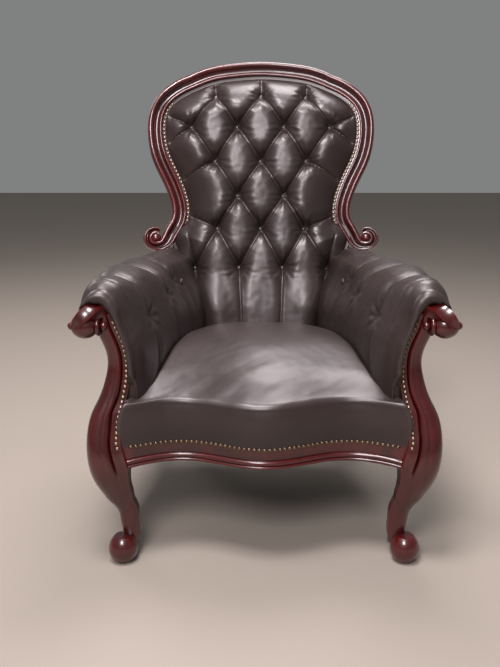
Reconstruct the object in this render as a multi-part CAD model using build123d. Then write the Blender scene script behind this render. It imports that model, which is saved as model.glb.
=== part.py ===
from build123d import *
from math import atan2, cos, pi, radians, sin
import os

os.makedirs("parts", exist_ok=True)

# Armchair with a spoon-shaped, deep-buttoned back. Millimetres, Z up, the sitter faces -Y.
# While it is built, y = 0 is the line of the front feet. The finished chair is then moved
# so that its origin is the middle of its footprint on the floor.
# Pieces of a pair are drawn on the side where x is negative, and mirrored.

# Whole chair
chair_height = 1005.0
knee_half = 341.0
post_height = 508.0
foot_depth = 600.0
gap = 0.3
fit = 0.8
overrun = 5.0

# Front posts and their feet
knee_depth = 66.0
foot_ball_radius = 29.0
foot_ball_half = 282.0
foot_ball_forward = 12.0
foot_ball_high = 27.0
foot_pad_radius = 17.0
whorl_radius = 12.0
whorl_groove = 2.0

# level, outside, inside, set-back of the middle, depth: shares of post_height, of knee_half
# for the two sides, and of knee_depth
post_shares = (
    (0.059, 0.833, 0.739, 0.15, 0.48),
    (0.094, 0.833, 0.733, 0.14, 0.52),
    (0.130, 0.836, 0.730, 0.12, 0.55),
    (0.173, 0.845, 0.733, 0.10, 0.56),
    (0.211, 0.859, 0.738, 0.08, 0.58),
    (0.250, 0.899, 0.757, 0.00, 0.64),
    (0.295, 0.938, 0.765, -0.09, 0.73),
    (0.344, 0.971, 0.773, -0.18, 0.85),
    (0.390, 0.990, 0.771, -0.23, 0.94),
    (0.453, 1.000, 0.786, -0.23, 1.00),
    (0.516, 1.000, 0.806, -0.18, 0.94),
    (0.596, 0.981, 0.801, -0.06, 0.82),
    (0.673, 0.927, 0.774, 0.09, 0.73),
    (0.748, 0.891, 0.756, 0.21, 0.67),
    (0.819, 0.878, 0.756, 0.24, 0.64),
    (0.892, 0.906, 0.774, 0.18, 0.67),
    (0.945, 0.924, 0.806, 0.12, 0.70),
    (1.000, 0.915, 0.836, 0.09, 0.73),
)
# corners of the section, as shares of its width and depth, from the outside round the front
post_corner_shares = (
    (0.0, 0.5), (0.08, 0.12), (0.42, 0.0), (0.6, 0.03), (0.66, 0.15), (0.72, 0.05),
    (1.0, 0.1), (1.0, 0.85), (0.96, 0.97), (0.85, 1.0), (0.25, 1.0), (0.05, 0.9),
)
leg_corner_shares = (
    (0.0, 0.5), (0.12, 0.12), (0.42, 0.0), (0.6, 0.01), (0.74, 0.05), (0.82, 0.09),
    (1.0, 0.3), (1.0, 0.8), (0.94, 0.94), (0.8, 1.0), (0.25, 1.0), (0.06, 0.92),
)
leg_end_share = 0.30
post_start_share = 0.45

# Arm scrolls: a turned barrel across the front of the post, under a strip that curls over it
scroll_high = 486.0
scroll_forward = 16.0
scroll_radius = 24.0
scroll_end_half = 358.0
scroll_length = 44.0
scroll_ring_radius = 19.0
scroll_ring_width = 8.0
scroll_bead_radius = 8.0
scroll_bead_width = 13.0
scroll_eye_radius = 10.0
scroll_eye_out = 9.0
strip_turn = 22.0
# outside, inside, underside, top: shares of knee_half and, for the last two, of strip_reach
strip_reach = 43.0
strip_shares = (
    (0.918, 0.852, 0.30, 0.93), (0.947, 0.858, 0.45, 1.00), (0.985, 0.884, 0.45, 0.93),
    (1.018, 0.925, 0.40, 0.80), (1.036, 0.965, 0.35, 0.67), (1.042, 0.992, 0.30, 0.57),
)
strip_hollow = 4.0

# Front and side rails
rail_low = 207.0
rail_high = 272.0
rail_thick = 30.0
rail_step = 5.0
rail_lower_bead = 3.5
rail_upper_bead = 5.0
rail_quirk = 1.5
rail_front = 16.0
rail_swing = 23.0
rail_wave = 162.0
rail_drop = 7.0
nail_line = 246.0
side_start_half = 328.0
side_bow = 12.0
back_rail_thick = 26.0

# Hoop round the back
hoop_half = 283.0
hoop_foot = 573.0
hoop_show = 34.0
hoop_land = 10.0
hoop_depth = 28.0
back_clear = 2.0
hoop_bead = 12.0
hoop_bead_rise = 3.0
hoop_channel = 6.0
hoop_inner_bead = 7.0
hoop_land_drop = 7.0
crest_half = 172.0
hoop_nails_share = 0.43
# across and up along the outer edge, shares of hoop_half and of the rise from hoop_foot
hoop_shares = (
    (0.0, 1.0), (0.279, 0.988), (0.459, 0.968), (0.636, 0.926), (0.813, 0.866), (0.943, 0.780),
    (1.0, 0.655), (1.0, 0.588), (0.954, 0.442), (0.873, 0.326), (0.806, 0.213), (0.791, 0.140),
    (0.812, 0.090), (0.850, 0.052),
)
hoop_stations = 22
# Scroll at each foot of the hoop: turn round its eye in degrees, width as a share of hoop_show
curl_half = 266.0
curl_high = 573.0
curl_eye_radius = 13.0
curl_eye_rise = 5.0
curl_shares = (
    (-20, 0.92), (-55, 0.66), (-95, 0.50), (-140, 0.50),
    (-185, 0.48), (-230, 0.42), (-270, 0.36), (-300, 0.26),
)

# The back leans as one plane, and its sides come forward of the middle
back_y = 590.0
back_z = 560.0
lean_back = 100.0
lean_up = 440.0
wrap_forward = 35.0
wrap_half = 290.0

# Rear legs, in one with the hoop's sides: level as a share of back_z, middle as a share of hoop_half,
# width and depth as shares of rear_width and rear_deep
rear_width = 36.0
rear_deep = 40.0
rear_shares = (
    (0.0, 0.834, 0.78, 0.75), (0.14, 0.825, 0.86, 0.85), (0.28, 0.812, 0.95, 0.95), (0.40, 0.802, 1.0, 1.0),
    (0.50, 0.80, 1.0, 1.0), (0.64, 0.785, 1.0, 0.85), (0.80, 0.765, 1.0, 0.65), (0.95, 0.745, 1.0, 0.55),
    (1.07, 0.73, 1.0, 0.55),
)
rear_round = 7.0

# Arms: rail point across and back, inside face across and back, top; shares of knee_half,
# foot_depth and arm_top
arm_top = 567.0
arm_shares = (
    (0.891, -0.023, 0.716, -0.023, 0.978), (0.894, 0.007, 0.677, 0.007, 1.0),
    (0.8955, 0.042, 0.656, 0.042, 1.003), (0.897, 0.083, 0.639, 0.083, 1.002),
    (0.900, 0.183, 0.610, 0.180, 0.993), (0.897, 0.308, 0.572, 0.308, 0.998),
    (0.886, 0.433, 0.531, 0.427, 0.984), (0.862, 0.550, 0.490, 0.520, 0.984),
    (0.818, 0.667, 0.446, 0.577, 0.967), (0.757, 0.785, 0.392, 0.635, 0.963),
    (0.728, 0.855, 0.338, 0.674, 0.960), (0.694, 0.922, 0.282, 0.713, 0.952),
)
arm_pleats = (4, 6, 8)
arm_pleat_sink = 5.0
arm_end_sink = 11.0
arm_wadding = 16.0
arm_waist = 22.0
arm_button_sink = 12.0
hollow_radius = 24.0
arm_overhang = 40.0
arm_overhang_high = 521.0
arm_under = 495.0
arm_shoulder = 500.0
arm_shoulder_back = 24.0
arm_pad = 36.0
arm_inside_high = 385.0
arm_low = 277.0
leather = 3.0
arm_rail_high = 507.0
arm_rail_deep = 26.0
arm_rail_out = 8.0
arm_rail_in = 18.0
arm_buttons_high = (478.0, 490.0, 498.0)
tack_rail_low = 307.0
tack_rail_high = 333.0
tack_rail_thick = 20.0

# Back upholstery, measured from the leaning plane
pad_low = 337.0
pad_low_half = 176.0
pad_waist_half = 186.0
pad_rise = 62.0
# inset and rise of the pad's outlines, shares of pad_rise
pad_shares = ((0.0, 0.32), (0.13, 0.68), (0.45, 0.90), (0.97, 1.0))
pad_base = 3.1
pad_outline_shares = (0.0, 0.11, 0.22, 0.33, 0.44, 0.55, 0.66, 0.77, 0.88)
pad_wadding = 24.0
pad_edge = 6.0
button_radius = 8.0
button_thick = 6.0
button_sink = 18.0
dimple_radius = 20.0
pleat_width = 13.0
pleat_sink = 10.0
# rows of back buttons: height, then the places across
button_rows = (
    (914.0, (-114.0, 0.0, 114.0)),
    (838.0, (-175.0, -59.0, 59.0, 175.0)),
    (754.0, (-115.0, 0.0, 115.0)),
    (669.0, (-58.0, 58.0)),
    (588.0, (-110.0, 0.0, 110.0)),
    (492.0, (-168.0, -55.0, 55.0, 168.0)),
)
pleat_reach = 82.0

# Webbing and hessian
web_width = 50.0
web_thick = 1.6
hessian_thick = 1.2
back_webs_high = (650.0, 740.0, 830.0)
back_webs_across = (-110.0, 0.0, 110.0)

# Seat
seat_top = 400.0
seat_back_gap = 1.5
seat_side_gap = 3.0
seat_corner_half = 262.0
# level, forward push of the front edge, shrink towards the middle; shares of seat_top,
# of seat_bulge and of one
seat_bulge = 15.0
seat_middle = 200.0
seat_shares = (
    (0.628, 0.0, 0.0), (0.68, 0.3, 0.0), (0.76, 0.9, 0.0), (0.84, 1.0, 0.0), (0.88, 0.8, 0.01),
    (0.93, 0.3, 0.05), (0.97, 0.0, 0.14), (0.992, 0.0, 0.32), (1.0, 0.0, 0.52),
)
hessian_high = 332.0
long_webs = (-140.0, -70.0, 0.0, 70.0, 140.0)
cross_webs = (85.0, 150.0, 215.0, 280.0, 345.0)
web_end = 14.0
spring_rows = ((85.0, (-140.0, 0.0, 140.0)), (215.0, (-125.0, 0.0, 125.0)), (345.0, (-90.0, 0.0, 90.0)))
spring_radius = 38.0
spring_waist = 26.0
spring_wire = 2.0
spring_turns = 4
cloth_thick = 0.8

# Nails, dowels, blocks and screws
nail_radius = 4.3
nail_rise = 2.6
nail_pitch = 10.0
nail_seat = 0.2
dowel_radius = 4.0
dowel_half = 16.0
dowel_apart = 20.0
block_leg = 45.0
block_high = 32.0
block_room = 2.0
screw_radius = 2.2
screw_head = 4.2
screw_length = 38.0
screw_bite = 16.0

parts = {}


def closed(items):
    """A closed wire: each item is a corner, or a pair (through, corner) for an arc to it."""
    corners = [item[-1] if isinstance(item, tuple) else item for item in items]
    edges = []
    for before, item in zip([corners[-1]] + corners[:-1], items):
        if isinstance(item, tuple):
            edges.append(Edge.make_three_point_arc(before, item[0], item[1]))
        else:
            edges.append(Edge.make_line(before, item))
    return Wire(edges)


def through(points):
    """Arcs through every second point of a list."""
    return [(points[i], points[i + 1]) for i in range(1, len(points) - 1, 2)]


def mirrored(shape):
    return shape.mirror(Plane.YZ)


def mixed(low, high, share):
    return low + (high - low) * share


def cut(shape, *tools):
    """A shape less its tools, as its largest solid."""
    left = shape
    for tool in tools:
        left = left - tool
    return max(left.solids(), key=lambda solid: solid.volume)


def joined(*shapes):
    whole = shapes[0].fuse(*shapes[1:])
    return max(whole.solids(), key=lambda solid: solid.volume)


def dome(radius, rise):
    """The half-way point, up and across, of a round dome's side."""
    sphere = (radius * radius + rise * rise) / (2 * rise)
    turn = atan2(radius, sphere - rise) / 2
    return rise - sphere + sphere * cos(turn), sphere * sin(turn)


def between(rows, level):
    """The row at a level, from a table whose first column rises."""
    for row, after in zip(rows, rows[1:]):
        if level <= after[0]:
            share = (level - row[0]) / (after[0] - row[0])
            return tuple(mixed(a, b, share) for a, b in zip(row, after))
    return rows[-1]


# Front posts

def post_point(level, across, deep):
    """A point of the left post, by shares of its height, width and depth there."""
    height, outer, inner, middle, depth = between(post_shares, level)
    x = -mixed(outer, inner, across) * knee_half
    y = (middle + (deep - 0.5) * depth) * knee_depth
    return Vector(x, y, level * post_height)


def post_section(level):
    share = min(max((level - leg_end_share) / (post_start_share - leg_end_share), 0), 1)
    p = [
        post_point(level, mixed(a[0], b[0], share), mixed(a[1], b[1], share))
        for a, b in zip(leg_corner_shares, post_corner_shares)
    ]
    return closed([(p[11], p[0]), (p[1], p[2]), (p[3], p[4]), p[5], p[6], p[7], (p[8], p[9]), p[10]])


def front_post():
    shaft = Solid.make_loft([post_section(row[0]) for row in post_shares])
    side = closed([
        Vector(0, 0, 0),
        Vector(foot_pad_radius, 0, 0),
        (Vector(foot_ball_radius, 0, foot_ball_high), Vector(foot_pad_radius, 0, 2 * foot_ball_high)),
        Vector(0, 0, 2 * foot_ball_high),
    ])
    ball = revolve(Face(side), Axis.Z)
    whorl = Plane(
        origin=(0, -foot_ball_radius, foot_ball_high), z_dir=(0, -1, 0), x_dir=(1, 0, 0)
    ).location * Solid.make_torus(whorl_radius, whorl_groove)
    ball = (ball - whorl).moved(Location((-foot_ball_half, -foot_ball_forward, 0)))
    return joined(shaft, ball)


# Arm scrolls

def scroll_barrel():
    def at(half, radius):
        return Vector(-half, 0, radius)

    inner = scroll_end_half - scroll_length
    ring_end = inner - scroll_ring_width
    bead_end = ring_end - scroll_bead_width
    eye = 0.8 * scroll_eye_radius
    half_up, half_across = dome(eye, scroll_eye_out)
    profile = closed([
        at(bead_end, 0),
        at(bead_end, 0.45 * scroll_bead_radius),
        (at(bead_end + 0.4 * scroll_bead_width, scroll_bead_radius), at(ring_end, 0.7 * scroll_bead_radius)),
        at(ring_end, 0.85 * scroll_ring_radius),
        (at(ring_end + 0.5 * scroll_ring_width, scroll_ring_radius), at(inner, 0.85 * scroll_ring_radius)),
        at(inner, 0.75 * scroll_ring_radius),
        (at(inner + 0.45 * scroll_length, scroll_radius), at(scroll_end_half, 1.2 * scroll_eye_radius)),
        at(scroll_end_half, eye),
        (at(scroll_end_half + half_up, half_across), at(scroll_end_half + scroll_eye_out, 0)),
    ])
    turned = revolve(Face(profile), Axis.X)
    return turned.moved(Location((0, -scroll_forward, scroll_high)))


def strip_section(index, row):
    """A section of the curling strip, in a plane through the barrel's axis."""
    turn = radians(strip_turn * (index - 1))
    out = Vector(0, -sin(turn), cos(turn))
    centre = Vector(0, -scroll_forward, scroll_high)
    left, right, under, top = row

    def at(share, reach):
        return Vector(-mixed(left, right, share) * knee_half, 0, 0) + centre + out * reach

    low = under * strip_reach
    high = top * strip_reach
    return closed([at(0, low), at(0, high), (at(0.5, high - strip_hollow), at(1, high)), at(1, low)])


def arm_scroll(post):
    strip = Solid.make_loft([strip_section(i, row) for i, row in enumerate(strip_shares)])
    return cut(joined(scroll_barrel(), strip), post)


# Front and side rails

def rail_section(place, outward, drop):
    """The moulded section: place is on the face line, outward a unit vector in plan."""
    def at(out, up):
        return Vector(place.X + outward.X * out, place.Y + outward.Y * out, up)

    low = rail_low - drop
    first = low + 2 * rail_lower_bead
    second = first + 2 * rail_upper_bead
    face = -2 * rail_quirk
    step = -3 * rail_lower_bead
    return closed([
        at(-rail_thick, rail_low + rail_step), at(step, rail_low + rail_step), at(step, low), at(0, low),
        (at(rail_lower_bead, low + rail_lower_bead), at(0, first)), at(-rail_quirk, first),
        (at(rail_upper_bead - rail_quirk, first + rail_upper_bead), at(-rail_quirk, second)),
        at(face, second), at(face, rail_high), at(-rail_thick, rail_high),
    ])


def front_line(x):
    """The serpentine front of the rail in plan, with its outward direction."""
    y = -rail_front - rail_swing * cos(pi * x / rail_wave)
    slope = rail_swing * pi / rail_wave * sin(pi * x / rail_wave)
    return Vector(x, y, 0), Vector(slope, -1, 0).normalized()


def front_rail():
    reach = knee_half * post_shares[9][2] + 2 * overrun
    count = 14
    sections = []
    for i in range(count + 1):
        share = 2 * i / count - 1
        place, outward = front_line(share * reach)
        sections.append(rail_section(place, outward, rail_drop * abs(share) ** 12))
    return Solid.make_loft(sections)


def rear_place(level):
    """Middle, width and depth of the rear leg at a height."""
    share, across, wide, deep = between(rear_shares, level / back_z)
    x = -across * hoop_half
    seat = 0.5 * back_z
    if level >= seat:
        back = back_face(x, level) + hoop_depth
    else:
        top = back_face(-between(rear_shares, 0.5)[1] * hoop_half, seat) + hoop_depth
        back = top + (foot_depth - top) * (1 - level / seat) ** 1.8
    return x, back - deep * rear_deep / 2, wide * rear_width, deep * rear_deep


def side_line(share):
    """The outer face of the left side rail in plan, from front to back."""
    x, y, width, depth = rear_place(nail_line)
    start = Vector(-side_start_half, 0, 0)
    end = Vector(x - width / 2 + 2 * rail_quirk, y, 0)
    along = (end - start).normalized()
    outward = Vector(-along.Y, along.X, 0)
    bow = pi * side_bow / (end - start).length * cos(pi * share)
    place = start + (end - start) * share + outward * (side_bow * sin(pi * share))
    return place, (outward - along * bow).normalized()


def side_rail():
    sections = []
    for i in range(9):
        place, outward = side_line(i / 8)
        sections.append(rail_section(place, outward, 0))
    return Solid.make_loft(sections)


def cross_rail(low, high, thick):
    """A rail between the rear legs, curved in plan as the back is."""
    reach = rear_place(low)[0]
    sections = []
    for i in range(7):
        x = reach * (1 - i / 3)
        y = back_face(x, nail_line) + hoop_depth
        if low > nail_line:
            y = back_face(x, low) + hoop_depth
        sections.append(closed([
            Vector(x, y - thick, low), Vector(x, y, low), Vector(x, y, high), Vector(x, y - thick, high),
        ]))
    return Solid.make_loft(sections)


# Hoop

def back_face(x, z):
    """How far back the front of the hoop lies."""
    rise = (z - back_z) / lean_up
    return back_y + lean_back * rise - wrap_forward * (x / wrap_half) ** 2


def hoop_outer():
    rise = chair_height - hoop_foot
    left = [Vector(-across * hoop_half, 0, hoop_foot + up * rise) for across, up in hoop_shares]
    right = [Vector(-p.X, 0, p.Z) for p in left[1:]]
    return Edge.make_spline(right[::-1] + left)


hoop_edge = hoop_outer()


def hoop_flat(share, inward):
    """A point of the left half in the X-Z plane: share 0 is the crest, inward from the outer edge."""
    place = hoop_edge.position_at(0.5 + share / 2)
    along = hoop_edge.tangent_at(0.5 + share / 2)
    return Vector(place.X, 0, place.Z) + Vector(-along.Z, 0, along.X) * inward


def on_face(flat):
    return Vector(flat.X, back_face(flat.X, flat.Z), flat.Z)


def hoop_profile(outer, inner, show, land):
    """The moulded section between an outer and an inner point of the hoop's face."""
    u = (inner - outer).normalized()
    middle = (outer + inner) * 0.5
    slope_x = -2 * wrap_forward * middle.X / wrap_half ** 2
    front = Vector(slope_x, -1, lean_back / lean_up)
    n = (front - u * front.dot(u)).normalized()
    wide = show / hoop_show

    def at(across, out):
        return outer + u * (across * wide) + n * out

    inner_start = hoop_show - hoop_inner_bead
    low = -hoop_bead_rise
    return closed([
        at(0, -hoop_depth),
        at(0, -0.6 * hoop_bead),
        (at(0.42 * hoop_bead, hoop_bead_rise), at(hoop_bead, low)),
        (at((hoop_bead + inner_start) / 2, low - hoop_channel), at(inner_start, low)),
        (at(hoop_show - hoop_inner_bead / 2, hoop_bead_rise / 2), at(hoop_show, low)),
        at(hoop_show, -hoop_land_drop),
        at(hoop_show, -hoop_land_drop) + u * land,
        at(hoop_show, -hoop_depth) + u * land,
    ])


def hoop_section(share):
    outer = hoop_flat(share, 0)
    inner = hoop_flat(share, hoop_show)
    return hoop_profile(on_face(outer), on_face(inner), hoop_show, hoop_land)


def curl_section(turn, wide):
    centre = Vector(-curl_half, 0, curl_high)
    away = Vector(cos(radians(turn)), 0, sin(radians(turn)))
    outer = centre + away * curl_eye_radius
    inner = centre + away * (curl_eye_radius + wide * hoop_show)
    return hoop_profile(on_face(outer), on_face(inner), wide * hoop_show, 1 - wide / 2)


def crest_share():
    """Where along the left half the crest meets the side."""
    low, high = 0.0, 1.0
    for _ in range(30):
        middle = (low + high) / 2
        if -hoop_flat(middle, 0).X < crest_half:
            low = middle
        else:
            high = middle
    return low


joint_share = crest_share()


def crest_rail():
    half = [joint_share * i / 5 for i in range(1, 6)]
    left = [hoop_section(share) for share in half]
    right = [hoop_mirror(share) for share in reversed(half)]
    return Solid.make_loft(right + [hoop_section(0)] + left)


def hoop_mirror(share):
    """The section of the right half, drawn in the same turning direction."""
    outer = hoop_flat(-share, 0)
    inner = hoop_flat(-share, hoop_show)
    return hoop_profile(on_face(outer), on_face(inner), hoop_show, hoop_land)


def hoop_side():
    steps = hoop_stations - 6
    shares = [mixed(joint_share, 1, i / steps) for i in range(steps + 1)]
    sections = [hoop_section(share) for share in shares]
    sections += [curl_section(turn, wide) for turn, wide in curl_shares]
    return Solid.make_loft(sections)


def curl_eye():
    brim = 0.9 * curl_eye_radius
    half_up, half_across = dome(brim, curl_eye_rise + hoop_bead_rise)
    side = closed([
        Vector(0, 0, -hoop_depth),
        Vector(curl_eye_radius + gap, 0, -hoop_depth),
        Vector(curl_eye_radius + gap, 0, -hoop_channel),
        Vector(brim, 0, -hoop_bead_rise),
        (Vector(half_across, 0, half_up - hoop_bead_rise), Vector(0, 0, curl_eye_rise)),
    ])
    turned = revolve(Face(side), Axis.Z)
    slope_x = 2 * wrap_forward * curl_half / wrap_half ** 2
    front = Vector(slope_x, -1, lean_back / lean_up).normalized()
    place = on_face(Vector(-curl_half, 0, curl_high))
    return Plane(origin=place, z_dir=front).location * turned


def rear_section(level):
    x, y, width, depth = rear_place(level)
    r = rear_round
    a, b = width / 2, depth / 2
    k = r * (1 - cos(pi / 4))

    def at(dx, dy):
        return Vector(x + dx, y + dy, level)

    return closed([
        at(a - r, -b), (at(a - k, -b + k), at(a, -b + r)), at(a, b - r), (at(a - k, b - k), at(a - r, b)),
        at(-a + r, b), (at(-a + k, b - k), at(-a, b - r)),
        at(-a, -b + r), (at(-a + k, -b + k), at(-a + r, -b)),
    ])


def back_post():
    leg = Solid.make_loft([rear_section(row[0] * back_z) for row in rear_shares])
    return joined(hoop_side(), curl_eye(), leg)


# Arms

def arm_frame(index):
    """Rail point, inward direction, distance to the inside face and top of an arm section."""
    rail_across, rail_back, face_across, face_back, top = arm_shares[index]
    rail = Vector(-rail_across * knee_half, rail_back * foot_depth, 0)
    face = Vector(-face_across * knee_half, face_back * foot_depth, 0)
    return rail, (face - rail).normalized(), (face - rail).length, top * arm_top


def arm_outline(index, inset, low_roll):
    """The padded line of an arm from the inside foot, over the top and round to the rail."""
    rail, inward, wide, top = arm_frame(index)
    sink = inset
    if index == 0:
        sink += arm_end_sink
    elif index in arm_pleats:
        sink += arm_pleat_sink

    def at(across, up):
        return rail + inward * across + Vector(0, 0, up)

    face = wide - sink
    shoulder = face - arm_shoulder_back
    bulge = arm_overhang - sink
    half_way = (arm_inside_high + arm_shoulder) / 2
    return at, [
        at(face, arm_low),
        at(face, arm_inside_high),
        (at(face - 0.27 * arm_shoulder_back, half_way), at(shoulder, arm_shoulder)),
        (at(0.62 * shoulder, mixed(top, arm_shoulder, 0.21) - sink), at(0.03 * wide, top - sink)),
        (at(-0.75 * bulge, mixed(top, arm_overhang_high, 0.35) - 0.7 * sink), at(-bulge, arm_overhang_high)),
        (at(-0.93 * bulge, mixed(low_roll, arm_overhang_high, 0.3)), at(-0.55 * bulge, low_roll)),
    ]


def turned_back(items):
    """The same lines and arcs, walked from the far end."""
    ends = [item[1] if isinstance(item, tuple) else item for item in items]
    back = [ends[-1]]
    for i in range(len(items) - 1, 0, -1):
        if isinstance(items[i], tuple):
            back.append((items[i][0], ends[i - 1]))
        else:
            back.append(ends[i - 1])
    return back


def arm_cover_section(index):
    at, outer = arm_outline(index, 0, arm_under)
    at, inner = arm_outline(index, arm_wadding, arm_rail_high + gap)
    lip = -arm_rail_out - gap
    return closed(outer + [at(lip, arm_under), at(lip, arm_rail_high + gap)] + turned_back(inner))


def arm_stuffing_section(index):
    wide = arm_frame(index)[2]
    at, inner = arm_outline(index, arm_wadding, arm_rail_high + gap)
    return closed(inner + [at(arm_rail_in + gap, arm_rail_high + gap), at(wide - arm_pad, arm_low)])


def arm_end_section(index):
    wide = arm_frame(index)[2]
    at, outer = arm_outline(index, 0, arm_under)
    return closed(outer + [at(arm_rail_in, arm_under), at(wide - arm_pad, arm_low)])


def arm_form():
    """The whole outside of a padded arm."""
    return Solid.make_loft([arm_end_section(i) for i in range(len(arm_shares))])


def boxed(rows):
    """A straight-sided block through rectangles given as two corners and a level."""
    rings = []
    for x1, x2, y1, y2, z in rows:
        rings.append(closed([Vector(x1, y1, z), Vector(x2, y1, z), Vector(x2, y2, z), Vector(x1, y2, z)]))
    return Solid.make_loft(rings, True)


def post_room():
    """The room the upholstery leaves for the front post."""
    rows = []
    for i in range(9):
        level = mixed(0.4, 1.0, i / 8)
        height, outer, inner, middle, depth = between(post_shares, level)
        rows.append((
            -outer * knee_half - fit, -inner * knee_half + fit,
            (middle - depth / 2) * knee_depth - fit, (middle + depth / 2) * knee_depth + fit,
            level * post_height + fit * level,
        ))
    return boxed(rows)


def rear_room():
    """The room the upholstery leaves for the rear leg and the scroll above it."""
    rows = []
    for i in range(9):
        level = mixed(0.35, 1.07, i / 8) * back_z
        x, y, width, depth = rear_place(level)
        rows.append((
            x - width / 2 - fit, x + width / 2 + fit, y - depth / 2 - fit, y + depth / 2 + fit, level,
        ))
    reach = curl_eye_radius + 0.52 * hoop_show + fit
    front = back_face(-curl_half, curl_high) - 2 * curl_eye_rise
    deep = hoop_depth + 4 * curl_eye_rise
    curl = Box(2 * reach, deep, 2 * reach)
    return boxed(rows), curl.moved(Location((-curl_half, front + deep / 2, curl_high)))


def behind_leg():
    """Everything behind the front of the rear leg."""
    rows = []
    for i in range(9):
        level = mixed(0.35, 1.07, i / 8) * back_z
        x, y, width, depth = rear_place(level)
        rows.append((-knee_half, 0, y - depth / 2 - fit, 2 * foot_depth, level))
    return boxed(rows)


def arm_face(index, high):
    """Where a button sits on the inside face, and the way it looks."""
    rail, inward, wide, top = arm_frame(index)
    share = (high - arm_inside_high) / (arm_shoulder - arm_inside_high)
    face = wide - arm_pleat_sink - arm_shoulder_back * share ** 1.5
    return rail + inward * face + Vector(0, 0, high), inward


def pocket(place, out, sink):
    """A funnel for a sunk button: its bottom takes the button."""
    base = place - out * sink
    bottom = button_radius + gap
    side = closed([
        Vector(0, 0, 0), Vector(bottom, 0, 0), Vector(dimple_radius, 0, sink + gap),
        Vector(dimple_radius, 0, 2 * sink), Vector(0, 0, 2 * sink),
    ])
    return Plane(origin=base, z_dir=out).location * revolve(Face(side), Axis.Z)


def hollow(place, out):
    """A round hollow for an arm button."""
    return Sphere(hollow_radius).moved(Location(place + out * (hollow_radius - arm_button_sink)))


def button(place, out, sink):
    half_up, half_across = dome(button_radius, 0.6 * button_thick)
    rim = 0.4 * button_thick
    side = closed([
        Vector(0, 0, 0), Vector(button_radius, 0, 0), Vector(button_radius, 0, rim),
        (Vector(half_across, 0, rim + half_up), Vector(0, 0, button_thick)),
    ])
    return Plane(origin=place - out * sink, z_dir=out).location * revolve(Face(side), Axis.Z)


def rail_between(first, last, near, far, low, high, extra=(), straight=False):
    """A rail under the arm, between two distances inward from the rail points."""
    sections = []
    for i in range(first, last):
        rail, inward, wide, top = arm_frame(i)
        a, b = near(wide), far(wide)
        sections.append(closed([
            rail + inward * a + Vector(0, 0, low), rail + inward * b + Vector(0, 0, low),
            rail + inward * b + Vector(0, 0, high), rail + inward * a + Vector(0, 0, high),
        ]))
    return Solid.make_loft(sections + list(extra), straight)


def arm_rail(rooms):
    low = arm_rail_high - arm_rail_deep
    whole = rail_between(
        1, len(arm_shares), lambda wide: -arm_rail_out, lambda wide: arm_rail_in, low, arm_rail_high
    )
    return cut(whole, *rooms)


def arm_back_line(wide):
    """Where the back of the arm's padding passes the tack rail."""
    share = (tack_rail_high - arm_low) / (arm_rail_high - arm_low)
    return mixed(wide - arm_pad, arm_rail_in, share) - fit


def arm_tack_rail(rooms):
    x, y, width, depth = rear_place(tack_rail_low)
    half = tack_rail_thick / 2
    end = closed([
        Vector(x - half, y, tack_rail_low), Vector(x + half, y, tack_rail_low),
        Vector(x + half, y, tack_rail_high), Vector(x - half, y, tack_rail_high),
    ])
    whole = rail_between(
        1, 9, lambda wide: arm_back_line(wide) - tack_rail_thick, arm_back_line,
        tack_rail_low, tack_rail_high, [end], True,
    )
    return cut(whole, *rooms)


def side_at(y):
    """Across the left side rail's outer face at a distance back."""
    return side_line(y / side_line(1)[0].Y)[0].X


def outside_arm(rooms):
    """The thin panel from the arm roll down to the side rail, drawn in at its waist."""
    sections = []
    high = arm_under - gap
    low = nail_line + nail_radius + gap
    last = len(arm_shares) - 1
    for i in range(1, last + 1):
        rail, inward, wide, top = arm_frame(i)
        waist = Vector(arm_waist * (1.1 - (i - 1) / (last - 1)), 0, 0)
        rings = []
        for out in (fit + gap, fit + gap + leather):
            above = Vector(rail.X - (arm_rail_out + out) / inward.X, rail.Y, high)
            below = Vector(side_at(rail.Y) + 2 * rail_quirk - out, rail.Y, low)
            rings.append((above, above * 0.6 + below * 0.4 + waist, below))
        near, far = rings
        sections.append(closed([far[2], (far[1], far[0]), near[0], (near[1], near[2])]))
    return cut(Solid.make_loft(sections), *rooms)


# Back upholstery

def lean_point(across, up, out):
    """A point by its place on the leaning plane and its rise in front of it."""
    turn = atan2(lean_back, lean_up)
    return Vector(
        across,
        back_y + up * sin(turn) - out * cos(turn),
        back_z + up * cos(turn) + out * sin(turn),
    )


def lean_up_of(x, y, z):
    turn = atan2(lean_back, lean_up)
    return (y - back_y) * sin(turn) + (z - back_z) * cos(turn)


lean_out = Vector(0, -lean_up, lean_back).normalized()


def pad_outline(inset):
    """The left half of the pad's outline on the leaning plane, from the top down."""
    half = []
    for share in pad_outline_shares:
        place = on_face(hoop_flat(share, hoop_show + hoop_land + gap + inset))
        half.append((place.X, lean_up_of(place.X, place.Y, place.Z)))
    lean = cos(atan2(lean_back, lean_up))
    for wide, high in (
        (pad_waist_half, 1.02 * back_z),
        (mixed(pad_waist_half, pad_low_half, 0.5), mixed(pad_low, back_z, 0.5)),
        (pad_low_half, pad_low),
    ):
        half.append((inset - wide, (high - back_z) / lean))
    return half


def pad_section(inset, out):
    left = [lean_point(x, up, out) for x, up in pad_outline(inset)]
    right = [lean_point(-x, up, out) for x, up in pad_outline(inset)]
    items = through(left[:9]) + [left[9], (left[10], left[11]), right[11], (right[10], right[9]), right[8]]
    items += through(right[8::-1])
    return closed(items)


def pad_form(inset, rise, base):
    sections = [pad_section(inset, -base)]
    for share, up in pad_shares:
        sections.append(pad_section(inset + share * pad_rise * rise, up * pad_rise * rise))
    return Solid.make_loft(sections)


def back_layer(out, thick):
    """A flat layer inside the hoop."""
    return Solid.extrude(Face(pad_section(gap, out)), lean_out * thick)


def back_place(across, high, out):
    lean = cos(atan2(lean_back, lean_up))
    return lean_point(across, (high - back_z) / lean, out)


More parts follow.
